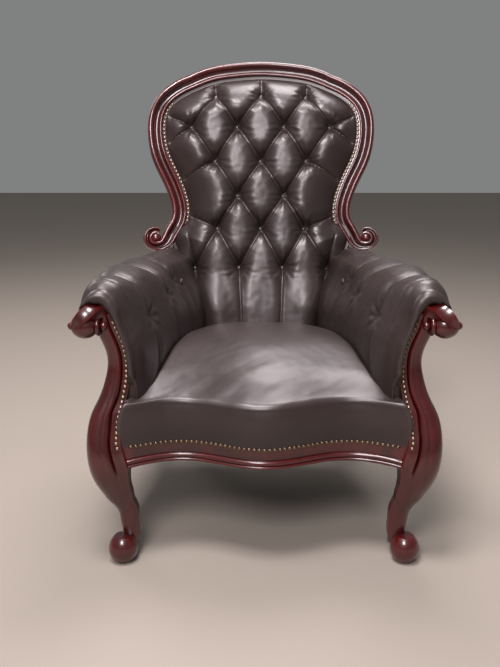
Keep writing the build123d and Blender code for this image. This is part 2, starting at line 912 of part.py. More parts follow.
def pleat(start, end):
    """A V-shaped fold from one place on the surface to another."""
    along = end - start
    side = along.cross(lean_out).normalized() * (pleat_width / 2)
    up = lean_out * (pleat_sink + overrun)
    top = pleat_sink + overrun
    base = start - lean_out * pleat_sink
    wedge = Face(closed([base, base + side + lean_out * top, base - side + lean_out * top]))
    return Solid.extrude(wedge, along)


def back_pleats():
    """Folds between each button and its nearest ones in the next row, and out to the frame."""
    folds = []
    for row, after in zip(button_rows, button_rows[1:]):
        for across in row[1]:
            for other in after[1]:
                if abs(across - other) < pleat_reach:
                    start = back_place(across, row[0], pad_rise)
                    end = back_place(other, after[0], pad_rise)
                    folds.append(pleat(start, end))
    high, places = button_rows[-1]
    for across in places:
        start = back_place(across, high, pad_rise)
        end = back_place(0.93 * across, pad_low - overrun, pad_rise)
        folds.append(pleat(start, end))
    return folds


def back_spots():
    return [
        (back_place(across, high, pad_rise), lean_out) for high, places in button_rows for across in places
    ]


def largest(shape):
    return max(shape.solids(), key=lambda solid: solid.volume)


def back_webs(places, upright, out):
    """Strips inside the hoop, all upright or all crosswise."""
    layer = back_layer(out, web_thick)
    strips = []
    for at in places:
        if upright:
            box = Box(web_width, 2 * chair_height, chair_height)
            strips.append(largest(layer & box.moved(Location((at, 0, pad_low + chair_height / 2)))))
        else:
            box = Box(2 * hoop_half, 2 * chair_height, web_width)
            strips.append(largest(layer & box.moved(Location((0, 0, at)))))
    return Compound(strips)


def outside_back():
    """The thin panel behind the hoop and the rear legs."""
    low = nail_line + nail_radius + gap
    half = hoop_half + overrun
    sections = []
    for i in range(4):
        z = mixed(low, chair_height + overrun, i / 3)
        rows = []
        for out in (back_clear, back_clear + leather):
            rows.append([Vector(x, back_face(x, z) + hoop_depth + out, z) for x in (-half, 0, half)])
        near, far = rows
        sections.append(closed([(near[1], near[2]), far[2], (far[1], far[0]), near[0]]))
    sheet = Solid.make_loft(sections)
    edge = 0.25 * hoop_bead
    left = [hoop_flat(share, edge) for share in pad_outline_shares]
    lows = [mixed(low, back_z, share) for share in (0.97, 0.5, 0.0)]
    for z in lows:
        x, y, width, depth = rear_place(z)
        left.append(Vector(x - width / 2 + edge, 0, z))
    right = [Vector(-p.X, 0, p.Z) for p in left]
    items = through(left[:9]) + [left[9], (left[10], left[11]), right[11], (right[10], right[9]), right[8]]
    items += through(right[8::-1])
    outline = Face(closed(items))
    block = Solid.extrude(outline, Vector(0, 2 * foot_depth, 0))
    return max((sheet & block).solids(), key=lambda solid: solid.volume), left


# Seat

def seat_corner_points(push):
    """The left half of the seat's plan, from the middle of the front round to the back."""
    side = seat_corner_half
    front = []
    for share in (0.0, 0.155, 0.31, 0.465, 0.62, 0.71, 0.81, 0.905, 1.0):
        place, outward = front_line(-share * side)
        front.append(place + outward * (push + leather + gap - 2 * rail_quirk))
    front[-1] = Vector(-side, front[-1].Y, 0)
    sides = []
    for i in range(len(arm_shares)):
        rail, inward, wide, top = arm_frame(i)
        sides.append(rail + inward * (wide + seat_side_gap))
    end = lean_point(0, (arm_inside_high - back_z), pad_rise + seat_back_gap)
    middle = Vector(0.5 * sides[-1].X, mixed(sides[-1].Y, end.Y, 0.75), 0)
    return front, sides, middle, Vector(0, end.Y, 0)


def seat_section(level, push, shrink):
    front, sides, middle, end = seat_corner_points(push)
    centre = Vector(0, seat_middle, 0)

    def placed(p, side):
        flat = centre + (Vector(side * p.X, p.Y, 0) - centre) * (1 - shrink)
        return Vector(flat.X, flat.Y, level)

    def half(side):
        f = [placed(p, side) for p in front]
        g = [placed(p, side) for p in sides]
        m = placed(middle, side)
        return f, g, m

    lf, lg, lm = half(1)
    rf, rg, rm = half(-1)
    back = placed(end, 1)
    corner_l = Vector(lf[-1].X, lg[0].Y, level)
    corner_r = Vector(rf[-1].X, rg[0].Y, level)
    items = through(lf) + [
        corner_l, lg[0], (lg[1], lg[2]), (lg[3], lg[4]), (lg[5], lg[6]), (lg[7], lg[8]), lg[9],
        (lm, back), (rm, rg[9]),
        rg[8], (rg[7], rg[6]), (rg[5], rg[4]), (rg[3], rg[2]), (rg[1], rg[0]), corner_r, rf[-1],
    ]
    items += through(rf[::-1])
    return closed(items)


def seat_form(inset):
    """The crowned seat, drawn in all round."""
    sections = []
    for level, push, shrink in seat_shares:
        drawn = shrink + inset / seat_corner_half
        sections.append(seat_section(level * seat_top - inset, push * seat_bulge, drawn))
    return Solid.make_loft(sections)


def seat_sheet():
    flat = Face(seat_section(hessian_high, 0, (leather + fit) / seat_corner_half))
    return Solid.extrude(flat, Vector(0, 0, hessian_thick))


def seat_webs_long():
    strips = []
    low = rail_low + rail_step - 2 * web_thick
    for x in long_webs:
        near = front_line(x)[0].Y + web_end
        far = back_face(x, nail_line) + hoop_depth - web_end / 2
        box = Box(web_width, far - near, web_thick)
        strips.append(box.moved(Location((x, (near + far) / 2, low + web_thick / 2))))
    return Compound(strips)


def seat_webs_cross():
    strips = []
    low = rail_low + rail_step - web_thick
    for y in cross_webs:
        half = -side_at(y + web_width) - web_end
        box = Box(2 * half, web_width, web_thick)
        strips.append(box.moved(Location((0, y, low + web_thick / 2))))
    return Compound(strips)


def bottoming():
    """The cloth tacked under the rails, clear of the four legs."""
    level = rail_low + rail_step - 2 * web_thick - gap - cloth_thick
    side = [Vector(side_at(y) + web_end, y, level) for y in cross_webs]
    front_x = side[0].X + web_width
    front = []
    for i in range(5):
        x = front_x * i / 4
        front.append(Vector(x, front_line(x)[0].Y + web_end, level))
    rear_x = side[-1].X + web_width
    far = back_face(rear_x, nail_line) + hoop_depth - web_end
    half = front + side + [Vector(side[-1].X, side[-1].Y + web_width, level), Vector(rear_x, far, level)]
    other = [Vector(-p.X, p.Y, level) for p in half[1:]]
    flat = Face(closed(half + other[::-1]))
    return Solid.extrude(flat, Vector(0, 0, cloth_thick))


def spring(x, y, low, high):
    """An hourglass spring of half turns, each a tilted half circle."""
    count = 2 * spring_turns
    rise = (high - low - 2 * spring_wire) / count
    edges = []
    radii = []
    for i in range(count + 1):
        waist = abs(2 * i / count - 1)
        radii.append(mixed(spring_waist, spring_radius, waist))
    for i in range(count):
        side = 1 if i % 2 == 0 else -1
        z = low + spring_wire + i * rise
        start = Vector(x + side * radii[i], y, z)
        end = Vector(x - side * radii[i + 1], y, z + rise)
        middle = (start + end) * 0.5
        reach = (end - start).length / 2
        edges.append(Edge.make_three_point_arc(start, middle + Vector(0, side * reach, 0), end))
    path = Wire(edges)
    start = edges[0].position_at(0)
    profile = Plane(origin=start, z_dir=edges[0].tangent_at(0)) * Circle(spring_wire)
    return sweep(profile, path=path)


# Nails, dowels, blocks and screws

def nail():
    half_up, half_across = dome(nail_radius, nail_rise)
    side = closed([
        Vector(0, 0, 0),
        Vector(nail_radius, 0, 0),
        (Vector(half_across, 0, half_up), Vector(0, 0, nail_rise)),
    ])
    return revolve(Face(side), Axis.Z)


def nails_at(places):
    head = nail()
    planes = [Plane(origin=place + out * nail_seat, z_dir=out) for place, out in places]
    return Compound([plane.location * head for plane in planes])


def spaced(line, low, high, pitch):
    """Places along a line function of one number, a pitch apart."""
    steps = 400
    last = line(low)[0]
    places = [line(low)]
    run = 0.0
    for i in range(1, steps + 1):
        place, out = line(mixed(low, high, i / steps))
        run += (place - last).length
        last = place
        if run >= pitch:
            places.append((place, out))
            run -= pitch
    return places


def hoop_nail(share):
    flat = hoop_flat(share, hoop_show + hoop_land / 2)
    slope = -2 * wrap_forward * flat.X / wrap_half ** 2
    out = Vector(slope, -1, lean_back / lean_up).normalized()
    return on_face(flat) - out * hoop_land_drop, out


def post_nail(level):
    def on_bevel(at_level, across):
        return post_point(at_level, across, mixed(0.05, 0.1, (across - 0.72) / 0.28))

    step = 0.01
    across = on_bevel(level, 1.0) - on_bevel(level, 0.75)
    up = on_bevel(level + step, 0.88) - on_bevel(level - step, 0.88)
    return on_bevel(level, 0.88), across.cross(up).normalized()


def rail_nail(x):
    place, outward = front_line(x)
    return place - outward * 2 * rail_quirk + Vector(0, 0, nail_line), outward


def side_nail(share):
    place, outward = side_line(share)
    return place - outward * 2 * rail_quirk + Vector(0, 0, nail_line), outward


def rod(radius, half, place, along):
    return Plane(origin=place - along * half, z_dir=along).location * Solid.make_cylinder(radius, 2 * half)


def dowel_places():
    """Two dowels at each joint of the frame's left half, by joint."""
    low = mixed(rail_low + rail_step, rail_high, 0.3)
    height, outer, inner, middle, depth = between(post_shares, nail_line / post_height)
    x, y, width, deep = rear_place(nail_line)
    front, front_out = front_line(-inner * knee_half)
    start, start_out = side_line(0.03)
    end, end_out = side_line(0.97)
    start = start - start_out * rail_thick / 2
    end = end - end_out * rail_thick / 2
    back = back_face(x + width / 2, nail_line) + hoop_depth - back_rail_thick / 2
    across = Vector(1, 0, 0)
    along = Vector(0, 1, 0)
    turn = on_face(hoop_flat(joint_share + 0.01, 0)) - on_face(hoop_flat(joint_share - 0.01, 0))
    joints = {"front": [], "side front": [], "side rear": [], "back": [], "crest": []}
    for up, inward in ((0, hoop_bead), (dowel_apart, hoop_show)):
        level = Vector(0, 0, low + up)
        joints["front"].append((front - front_out * rail_thick / 2 + level, across))
        joints["side front"].append((Vector(start.X, (middle + depth / 2) * knee_depth, 0) + level, along))
        joints["side rear"].append((Vector(end.X, y - deep / 2, 0) + level, along))
        joints["back"].append((Vector(x + width / 2, back, dowel_apart / 2) + level, across))
        crest = on_face(hoop_flat(joint_share, inward)) + Vector(0, 0.6 * hoop_depth, 0)
        joints["crest"].append((crest, turn.normalized()))
    return joints


def block_outline(rail_face, side_share, toward, stop_x, stop_y):
    """Plan of a corner block that rests on two rails and clears the leg between them."""
    near, out = side_line(side_share)
    far, far_out = side_line(side_share + toward * block_leg / side_line(1)[0].Y)
    near = near - out * (rail_thick + gap)
    far = far - far_out * (rail_thick + gap)
    inner = rail_face(stop_x + block_leg)
    return [
        near, far, Vector(stop_x + block_leg, inner, 0),
        Vector(stop_x, rail_face(stop_x), 0), Vector(stop_x, stop_y, 0),
    ]


def front_block_outline():
    height, outer, inner, middle, depth = between(post_shares, rail_high / post_height)
    stop_x = -inner * knee_half + block_room
    stop_y = (middle + depth / 2) * knee_depth + block_room
    share = stop_y / side_line(1)[0].Y

    def face(x):
        return front_line(x)[0].Y + rail_thick + block_room

    return block_outline(face, share, 1, stop_x, stop_y)


def rear_block_outline():
    x, y, width, depth = rear_place(nail_line)
    stop_x = x + width / 2 + block_room
    stop_y = y - depth / 2 - block_room
    share = stop_y / side_line(1)[0].Y

    def face(at):
        return back_face(at, nail_line) + hoop_depth - back_rail_thick - block_room

    return block_outline(face, share, -1, stop_x, stop_y)


def block(outline):
    low = rail_low + rail_step + gap
    ring = [Vector(p.X, p.Y, low) for p in outline]
    return Solid.extrude(Face(closed(ring)), Vector(0, 0, block_high))


def screw_body(grow, lead):
    """A countersunk screw, or its hole when grown by the clearance and led out past the head."""
    head = 0.6 * screw_head
    points = [
        Vector(0, 0, -lead), Vector(screw_head + grow, 0, -lead), Vector(screw_head + grow, 0, 0),
        Vector(screw_radius + grow, 0, head), Vector(screw_radius + grow, 0, screw_length + grow),
        Vector(0, 0, screw_length + grow),
    ]
    if not lead:
        points = points[1:]
        points[0] = Vector(0, 0, 0)
    return revolve(Face(closed(points)), Axis.Z)


def screw_places(outline):
    """One screw into each of the two rails that a corner block rests on."""
    low = rail_low + rail_step
    near, far, inner, corner, leg = outline
    side_out = Vector(-(far - near).Y, (far - near).X, 0).normalized()
    if side_out.X > 0:
        side_out = side_out * -1
    rail_out = Vector(0, 1 if inner.Y > far.Y else -1, 0)
    back = screw_length - screw_bite
    places = []
    first = (near + far) * 0.5 - side_out * back
    second = (inner + corner) * 0.5 - rail_out * back
    places.append((Vector(first.X, first.Y, low + 0.3 * block_high), side_out))
    places.append((Vector(second.X, second.Y, low + 0.72 * block_high), rail_out))
    return places


# All the pieces

def add_pair(name, shape):
    parts[name + "_left"] = shape
    parts[name + "_right"] = mirrored(shape)


def other_side(places):
    return [(Vector(-p.X, p.Y, p.Z), Vector(-out.X, out.Y, out.Z)) for p, out in places]


def build_frame():
    post = front_post()
    rear = back_post()
    joints = dowel_places()
    dowels = [place for joint in joints.values() for place in joint]
    front_screws = screw_places(front_block_outline())
    rear_screws = screw_places(rear_block_outline())
    screws = front_screws + rear_screws

    def holes(*names):
        return [
            rod(dowel_radius + gap, dowel_half + gap, place, along)
            for name in names for place, along in joints[name]
        ]

    def sinks(places):
        tool = screw_body(gap, screw_length)
        return [Plane(origin=place, z_dir=along).location * tool for place, along in places]

    def both(tools):
        return tools + [mirrored(tool) for tool in tools]

    add_pair("front_post", cut(post, *holes("front", "side front")))
    add_pair("arm_scroll", arm_scroll(post))
    add_pair("back_post", cut(rear, *holes("side rear", "back", "crest")))
    side_tools = holes("side front", "side rear") + sinks([front_screws[0], rear_screws[0]])
    add_pair("side_rail", cut(side_rail(), post, rear_room()[0], *side_tools))
    posts = both([post])
    rears = both([rear_room()[0]])
    parts["front_rail"] = cut(front_rail(), *posts, *both(holes("front") + sinks(front_screws[1:])))
    whole = cross_rail(rail_low + rail_step, rail_high, back_rail_thick)
    parts["back_rail"] = cut(whole, *rears, *both(holes("back") + sinks(rear_screws[1:])))
    parts["back_tack_rail"] = cut(cross_rail(tack_rail_low, tack_rail_high, tack_rail_thick), *rears)
    parts["crest_rail"] = cut(crest_rail(), *both(holes("crest")))
    add_pair("front_corner_block", cut(block(front_block_outline()), *sinks(front_screws)))
    add_pair("rear_corner_block", cut(block(rear_block_outline()), *sinks(rear_screws)))
    rods = [rod(dowel_radius, dowel_half, place, along) for place, along in dowels + other_side(dowels)]
    parts["frame_dowels"] = Compound(rods)
    body = screw_body(0, 0)
    places = screws + other_side(screws)
    parts["corner_block_screws"] = Compound([Plane(origin=p, z_dir=out).location * body for p, out in places])


def build_arms():
    stations = range(1, len(arm_shares))
    rooms = [post_room(), *rear_room()]
    spots = [arm_face(i, high) for i, high in zip(arm_pleats, arm_buttons_high)]
    shell = Solid.make_loft([arm_cover_section(i) for i in stations])
    shell = cut(shell, *[hollow(place, out) for place, out in spots])
    shell = cut(shell, *rooms)
    end = cut(Solid.make_loft([arm_end_section(0), arm_end_section(1)]), rooms[0], parts["arm_scroll_left"])
    add_pair("arm_cover", largest(shell.fuse(end)))
    add_pair("arm_stuffing", cut(Solid.make_loft([arm_stuffing_section(i) for i in stations]), *rooms))
    add_pair("arm_rail", arm_rail(rooms))
    add_pair("arm_tack_rail", arm_tack_rail(rooms))
    add_pair("outside_arm_cover", outside_arm([rooms[0], behind_leg()]))
    spots += other_side(spots)
    rim = hollow_radius - (hollow_radius ** 2 - button_radius ** 2) ** 0.5
    sink = arm_button_sink - rim - gap
    parts["arm_buttons"] = Compound([button(place, out, sink) for place, out in spots])


def build_back():
    outer = pad_form(0, 1, pad_base)
    inner = pad_form(pad_edge, 1 - pad_wadding / pad_rise, pad_base + overrun)
    spots = back_spots()
    arms = [arm_form(), mirrored(arm_form())]
    cover = outer.cut(inner)
    cover = cover.cut(*[pocket(place, out, button_sink) for place, out in spots])
    cover = cover.cut(*back_pleats())
    parts["back_cover"] = largest(cover.cut(*arms))
    above = Solid.extrude(Face(pad_section(0, -pad_base)), lean_out * (2 * pad_rise))
    parts["back_stuffing"] = cut(inner & above, *arms)
    parts["back_buttons"] = Compound([button(place, out, button_sink) for place, out in spots])
    level = -pad_base - gap - hessian_thick
    parts["back_hessian"] = back_layer(level, hessian_thick)
    parts["back_webbing_cross"] = back_webs(back_webs_high, False, level - web_thick - gap)
    parts["back_webbing_upright"] = back_webs(back_webs_across, True, level - 2 * web_thick - 2 * gap)
    parts["outside_back_cover"] = outside_back()[0]


def build_seat():
    outer = seat_form(0)
    inner = seat_form(leather)
    parts["seat_cover"] = largest(outer.cut(inner))
    top = hessian_high + hessian_thick
    box = Box(2 * knee_half, 2 * foot_depth, 2 * seat_top).moved(Location((0, seat_middle, top + seat_top)))
    parts["seat_stuffing"] = largest(inner & box)
    parts["seat_hessian"] = seat_sheet()
    under = rail_low + rail_step
    springs = [spring(x, y, under, hessian_high) for y, places in spring_rows for x in places]
    parts["seat_springs"] = Compound(springs)
    parts["seat_webbing_long"] = seat_webs_long()
    parts["seat_webbing_cross"] = seat_webs_cross()
    parts["bottoming_cloth"] = bottoming()


build_frame()
build_arms()
build_back()
build_seat()

hoop = spaced(hoop_nail, hoop_nails_share, 1, nail_pitch)
parts["hoop_nails"] = nails_at(hoop + other_side(hoop))
first = (nail_line + nail_radius) / post_height
add_pair("post_nails", nails_at(spaced(post_nail, first, arm_under / post_height, nail_pitch)))
reach = knee_half * post_shares[9][2] - nail_radius
half_row = spaced(rail_nail, 0, -reach, nail_pitch)
parts["rail_nails"] = nails_at(half_row + other_side(half_row[1:]))
add_pair("side_nails", nails_at(spaced(side_nail, 0.08, 0.93, nail_pitch)))

whole = Compound(list(parts.values())).bounding_box()
move = Location((-whole.center().X, -whole.center().Y, -whole.min.Z))
for name, shape in parts.items():
    export_step(shape.moved(move), f"parts/{name}.step")
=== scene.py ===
import math

import bmesh
import bpy
import numpy as np
from bpy.props import FloatProperty, FloatVectorProperty, PointerProperty
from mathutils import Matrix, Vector, noise


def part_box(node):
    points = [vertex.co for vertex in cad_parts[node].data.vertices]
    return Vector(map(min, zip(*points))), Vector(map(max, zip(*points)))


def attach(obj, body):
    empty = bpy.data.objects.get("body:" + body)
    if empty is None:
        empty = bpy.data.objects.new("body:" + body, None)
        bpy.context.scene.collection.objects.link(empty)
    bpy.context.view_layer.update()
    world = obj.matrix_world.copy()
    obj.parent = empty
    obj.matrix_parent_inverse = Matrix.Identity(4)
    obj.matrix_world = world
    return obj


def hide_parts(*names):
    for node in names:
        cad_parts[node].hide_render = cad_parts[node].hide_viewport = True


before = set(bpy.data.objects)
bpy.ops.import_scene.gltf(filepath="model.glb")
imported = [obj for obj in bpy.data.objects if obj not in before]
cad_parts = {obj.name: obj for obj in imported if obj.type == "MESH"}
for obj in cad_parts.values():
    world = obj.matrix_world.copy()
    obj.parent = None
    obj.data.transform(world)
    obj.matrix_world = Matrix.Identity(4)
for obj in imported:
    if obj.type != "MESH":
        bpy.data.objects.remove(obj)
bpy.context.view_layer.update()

bl_info = {
    "name": "Spoon Back Chair",
    "version": (1, 0, 0),
    "blender": (4, 5, 0),
    "location": "View3D > Sidebar > Chair",
    "description": "Dresses the chair's frame with leather, polished wood and brass",
    "category": "Object",
}

MM = 0.001
# Distances below are millimetres, with y = 0 on the line of the front feet
RAIL_FRONT = 42.5
FRONT_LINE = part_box("front_rail")[0][1] / MM + RAIL_FRONT

# Hoop round the back: across and up along its outer edge, as in the solids
HOOP_HALF = 283.0
HOOP_FOOT = 573.0
CHAIR_HEIGHT = 1005.0
HOOP_SHARES = (
    (0.0, 1.0), (0.279, 0.988), (0.459, 0.968), (0.636, 0.926), (0.813, 0.866), (0.943, 0.780),
    (1.0, 0.655), (1.0, 0.588), (0.954, 0.442), (0.873, 0.326), (0.806, 0.213), (0.791, 0.140),
    (0.812, 0.090), (0.850, 0.052),
)
# The plane that the back leans on: where it starts, and its slope
BACK_Y = 590.0
BACK_Z = 560.0
LEAN = math.atan2(100.0, 440.0)
# How far the hoop comes forward of that plane at a given distance from the middle
WRAP_FORWARD = 35.0
WRAP_HALF = 290.0
# The leather's edge lies this far behind the hoop's face
LAND_DROP = 7.0

# Rows of back buttons: height, then the places across
BUTTON_ROWS = (
    (914.0, (-114.0, 0.0, 114.0)),
    (838.0, (-175.0, -59.0, 59.0, 175.0)),
    (754.0, (-115.0, 0.0, 115.0)),
    (669.0, (-58.0, 58.0)),
    (588.0, (-110.0, 0.0, 110.0)),
    (492.0, (-168.0, -55.0, 55.0, 168.0)),
)

# Folds that run out to the frame: starting button and end, across and up
EDGE_FOLDS = (
    ((175, 838), (238, 868)), ((175, 838), (232, 800)), ((115, 754), (214, 700)),
    ((58, 669), (110, 588)), ((110, 588), (184, 622)), ((168, 492), (186, 570)),
    ((168, 492), (214, 470)),
)
# Widest step across between two buttons that a fold joins
FOLD_SPAN = 82.0
# Folds above the top row spread a little and end this far up
TOP_FOLD_SPREAD = 1.05
TOP_FOLD_LENGTH = 60.0
# Folds below the lowest row close in a little and end at this height
LOW_FOLD_SPREAD = 0.86
LOW_FOLD_END = 325.0

# Foot of the back's leather, half width and height, up to where the hoop begins
BACK_FOOT = (
    (172, 332), (180, 380), (192, 430), (206, 490), (220, 540), (227, 570), (220, 590), (204, 604),
)
# The back's edge inside the hoop, where it joins the hoop, and the heights that split it
BACK_INSET = 35.0
BACK_JOINS_HOOP = 612.0
BACK_WAIST = 700.0
BACK_CORNER = 890.0
HOOP_STEPS = 240
FOOT_STEPS = 90
# The padding rises from a narrow band along the edge to its full height
EDGE_BAND = 6.0
EDGE_REACH = 92.0
EDGE_POWER = 2.3
EDGE_LIFT = 1.0
TUFT_BAND = 14.0
FINE_START = 10.0
FINE_BAND = 20.0
# Fuller padding low down, more so at its sides
LOW_TOP = 490.0
LOW_BAND = 110.0
LOW_RISE = 10.0
LOW_SIDE_RISE = 30.0
LOW_SIDE_START = 60.0
# Rows and columns of the back's surface, and how far they crowd to its edges
BACK_GRID = (340, 270)
BACK_CROWDING = (0.35, 0.55)

# How softly folds meet, and the lap of the leather along one side of a fold
FOLD_BLEND = 3.5
LAP_RISE = 1.4
LAP_FALL = -0.4
LAP_AT = 2.5
LAP_WIDE = 4.0
# Half width of a puff away from its buttons, and how far a button's pull reaches
PUFF_HALF = 28.0
PULL_REACH = 40.0
# A button's hollow, and the wider, shallower one round it
PIT_HALF = 15.0
PIT_SPREAD = 32.0
PIT_SPREAD_SHARE = 0.5
# Gathers round a button: count of rays and their turn from one button to the next
GATHER_RAYS = ((7, 1.7), (12, 0.9))
GATHER_AT = 22.0
GATHER_WIDE = 13.0
# Level creases just below a button
CREASE_SHARE = 0.35
CREASE_PITCH = 0.42
CREASE_SWAY = 2.0
CREASE_SWAY_PITCH = 0.03
CREASE_BELOW = 16.0
CREASE_BAND = 15.0
CREASE_SIDE = 20.0

# Arms: rail point across and back, inside face across and back, top
ARM_STATIONS = (
    (304, -14, 244, -14, 555), (305, 4, 231, 4, 567), (305.5, 25, 224, 25, 569),
    (306, 50, 218, 50, 568), (307, 110, 208, 108, 563), (306, 185, 195, 185, 566),
    (302, 260, 181, 256, 558), (294, 330, 172, 320, 558), (279, 400, 162, 372, 551),
    (258, 471, 154, 412, 551), (236, 552, 147, 446, 548), (224, 600, 140, 506, 540),
)
# Spacing of the stations, and the rows and columns of an arm's surface
STATION_STEP = 60.0
ARM_GRID = (240, 120)
ARM_KEY_STEPS = 400
# Section of an arm: inner face, bend, shoulder, crown, then the roll outside and under.
# The bend and the shoulder draw in towards the back of the chair
ARM_FACE = (277, 330, 385)
ARM_BEND = 445.0
ARM_BEND_IN = 6.0
ARM_BEND_MORE = 10.0
SHOULDER = 500.0
SHOULDER_IN = 24.0
SHOULDER_MORE = 26.0
REAR_START = 230.0
REAR_BAND = 260.0
TURN_SHARE = 0.45
TURN_LIFT = 6.0
TURN_AT = 0.80
ARM_TOP = ((0.60, 13), (0.30, 3))
CREST_AT = 0.03
ARM_ROLL = ((-17, 5), (-31, 19))
ARM_UNDER = ((-39.5, 523), (-37, 505), (-24, 495), (-9, 494.5))

# Pleats over an arm, by station, with the height of each one's button
ARM_PLEATS = (4.0, 6.0, 8.0)
ARM_BUTTONS_HIGH = (478.0, 490.0, 498.0)
# Column that the pleats are placed along, and the last column a button may lie on
ARM_MIDDLE = 60
ARM_FACE_END = 70
PLEAT_SWAY = 12.0
PLEAT_SWAY_TURNS = 3.0
PLEAT_SWAY_START = 1.2
PLEAT_BLEND = 3.0
PLEAT_HALF = 30.0
PLEAT_LAP_RISE = 1.5
PLEAT_LAP_FALL = -0.3
PLEAT_LAP_WIDE = 3.5
PLEAT_END = 0.74
PLEAT_END_BAND = 0.16
ARM_PIT_HALF = 15.0
ARM_PIT_POWER = 1.5
ARM_RAYS = 8
ARM_RAYS_AT = 24.0
ARM_RAYS_WIDE = 14.0
# Seam across the front of an arm
ARM_SEAM = 22.0
SEAM_DEEP = 3.0
SEAM_WIDE = 2.5
SEAM_START = 0.38
SEAM_START_BAND = 0.12
# Front of an arm: where its leather is tucked in above the last nail
ARM_TUCK = (
    (-294, -12, 508), (-308, 2, 521), (-326, 5, 524), (-340, 3, 516), (-330, 0, 500), (-312, -2, 495),
)
# The roll round the front, and the slightly hollow leather drawn in from it to the nails
LIP_RINGS = 24
LIP_SHARE = 0.42
FRONT_RINGS = 16
FRONT_DISH = 4.0
NAIL_REST = 1.5
# Below this height the front of an arm lies flat behind the post
LOW_FRONT = 400.0
LOW_FRONT_BAND = 40.0
LOW_FRONT_BACK = 8.0
LOW_FRONT_STEP = 12.0

# Seat: half width, foot, height of the front edge, and the place its surface closes on
SEAT_HALF = 276.0
SEAT_FOOT = 250.5
SEAT_EDGE = 338.0
SEAT_MIDDLE = (0.0, 200.0)
# Curve of the front rail in plan
FRONT_MEAN = -16.0
FRONT_SWING = 23.0
FRONT_WAVE = 162.0
# The leather's gap to that curve, and how much less it swells at the corners
FRONT_FIT = 0.3
FRONT_EASE = 0.5
FRONT_EASE_POWER = 6
FRONT_STEPS = 60
# Left side of the seat in plan: corner, then along the arm and round the back
SEAT_CORNER = ((-276, -20), (-262, -8))
SEAT_SIDE = (
    (-246, 6), (-232, 20), (-222, 40), (-214, 72), (-207, 108), (-194, 185), (-180, 256),
    (-170, 312), (-160, 352), (-148, 392), (-122, 430), (-80, 458), (-40, 478), (0, 484),
)
SIDE_STEPS = 90
SEAT_COLUMNS = 170
# Rise of the seat's middle, by the distance behind its front edge
SEAT_CROWN = (
    (-40, 338), (0, 338), (30, 350), (65, 368), (133, 390), (190, 404), (260, 411), (340, 410),
    (400, 401), (470, 386), (540, 366),
)
CROWN_STEPS = 400
# Fall of the seat to its sides: by the distance behind the edge, over the half width at each depth
SIDE_FALL = ((0, 60, 200, 420), (0, 7, 14, 30))
SIDE_FALL_POWER = 3
SIDE_FALL_LIMIT = 1.1
SEAT_HALVES = ((-14, 108, 256, 392, 480), (244, 208, 180, 148, 100))
# The front wall swells, most at this share of a half turn, and meets the nails beside the posts
SWELL_TURN = 0.72
NAIL_GAP = 3.0
CORNER_START = 180.0
CORNER_BAND = 90.0
CORNER_DEPTH = -4.0
# Rings of the seat's surface: up the wall, round its edge and over the top
WALL_ROWS = 34
ROUND_ROWS = 14
TOP_ROWS = 80
TOP_END = 0.997
# Wrinkles slant across the front of the seat: height, pitch along x, y and z, and seed
SEAT_SLANT = (0.8, 0.6, 0.4)
SEAT_FOLDS = ((1.5, (0.008, 0.03, 0.02), 10), (0.3, (0.02, 0.08, 0.05), 11))
FOLDS_END = 150.0
FOLDS_BAND = 140.0
FOLDS_FOOT = 290.0
FOLDS_FOOT_BAND = 30.0
FOLDS_FORWARD = 0.5
# Puckers above the nails, along the foot of the front wall
PUCKER = 0.7
PUCKER_PITCH = 0.62
PUCKER_HIGH = 14.0
FRONT_REACH = 12.0
SLACK_FOOT = 262.0
SLACK_BAND = 60.0

# Slack of the leather: height, pitch and seed
SEAT_SLACK = ((1.6, 0.008, 8), (0.3, 0.05, 9))
BACK_SLACK = (3.0, 0.012, 1)
BACK_FINE = (0.45, 0.06, 2)
ARM_SLACK = ((2.0, 0.015, 5), (0.5, 0.07, 6))
# Outside panels: height and pitch of their slack, longest edge in metres, sharp edges
PANEL_SLACK = ((0.6, 14.0), (0.25, 55.0))
PANEL_EDGE = 0.014
PANEL_ROUNDS = 6
PANEL_SHARP = 50.0

# Radius and height of a button's rings, from its rim to its middle
BUTTON_RINGS = (
    (6.6, 0.0), (7.4, 1.0), (7.3, 2.2), (6.4, 3.4), (4.8, 4.4), (2.8, 5.0), (1.0, 5.2),
)
# Gathers of the leather round a button's rim, and how deep a button sits
BUTTON_SPOKES = 28
BUTTON_GATHERS = 14
BUTTON_GATHER_DEEP = 0.03
BUTTON_GATHER_FROM = 5.0
BUTTON_SINK = 1.5
ARM_BUTTON_SINK = 3.0
ARM_BUTTON_TURN = (-0.15, 0.1)

# Hidden wood and cloths: dark and light colour, and the weave's scale
BEECH = ((0.30, 0.18, 0.09), (0.50, 0.33, 0.18))
JUTE = ((0.30, 0.21, 0.12), (0.50, 0.38, 0.24), 260.0)
HESSIAN = ((0.34, 0.25, 0.15), (0.56, 0.44, 0.29), 420.0)
BLACK_CLOTH = ((0.012, 0.012, 0.013), (0.035, 0.035, 0.037), 900.0)
SPRING_STEEL = (0.42, 0.36, 0.30)
SCREW_STEEL = (0.45, 0.44, 0.42)

# Studio: lamps with place in metres, size and power, then the sky and the floor
LAMPS = (
    ("key", (-0.4, -0.9, 2.9), 0.8, 84.0), ("front", (-0.5, -2.3, 2.1), 0.9, 66.0),
    ("top", (0.3, 0.9, 2.5), 1.1, 46.0), ("rim", (-1.8, 1.8, 2.0), 1.0, 14.0),
)
LAMP_TINT = (1.0, 0.95, 0.96)
LAMP_AIM = (0.0, 0.0, 0.5)
SKY_TINT = (0.80, 0.81, 0.81, 1)
SKY_STRENGTH = 0.27
FLOOR_HALF = 9.0
FLOOR_TINT = (0.29, 0.25, 0.215, 1)
FLOOR_ROUGHNESS = 0.8
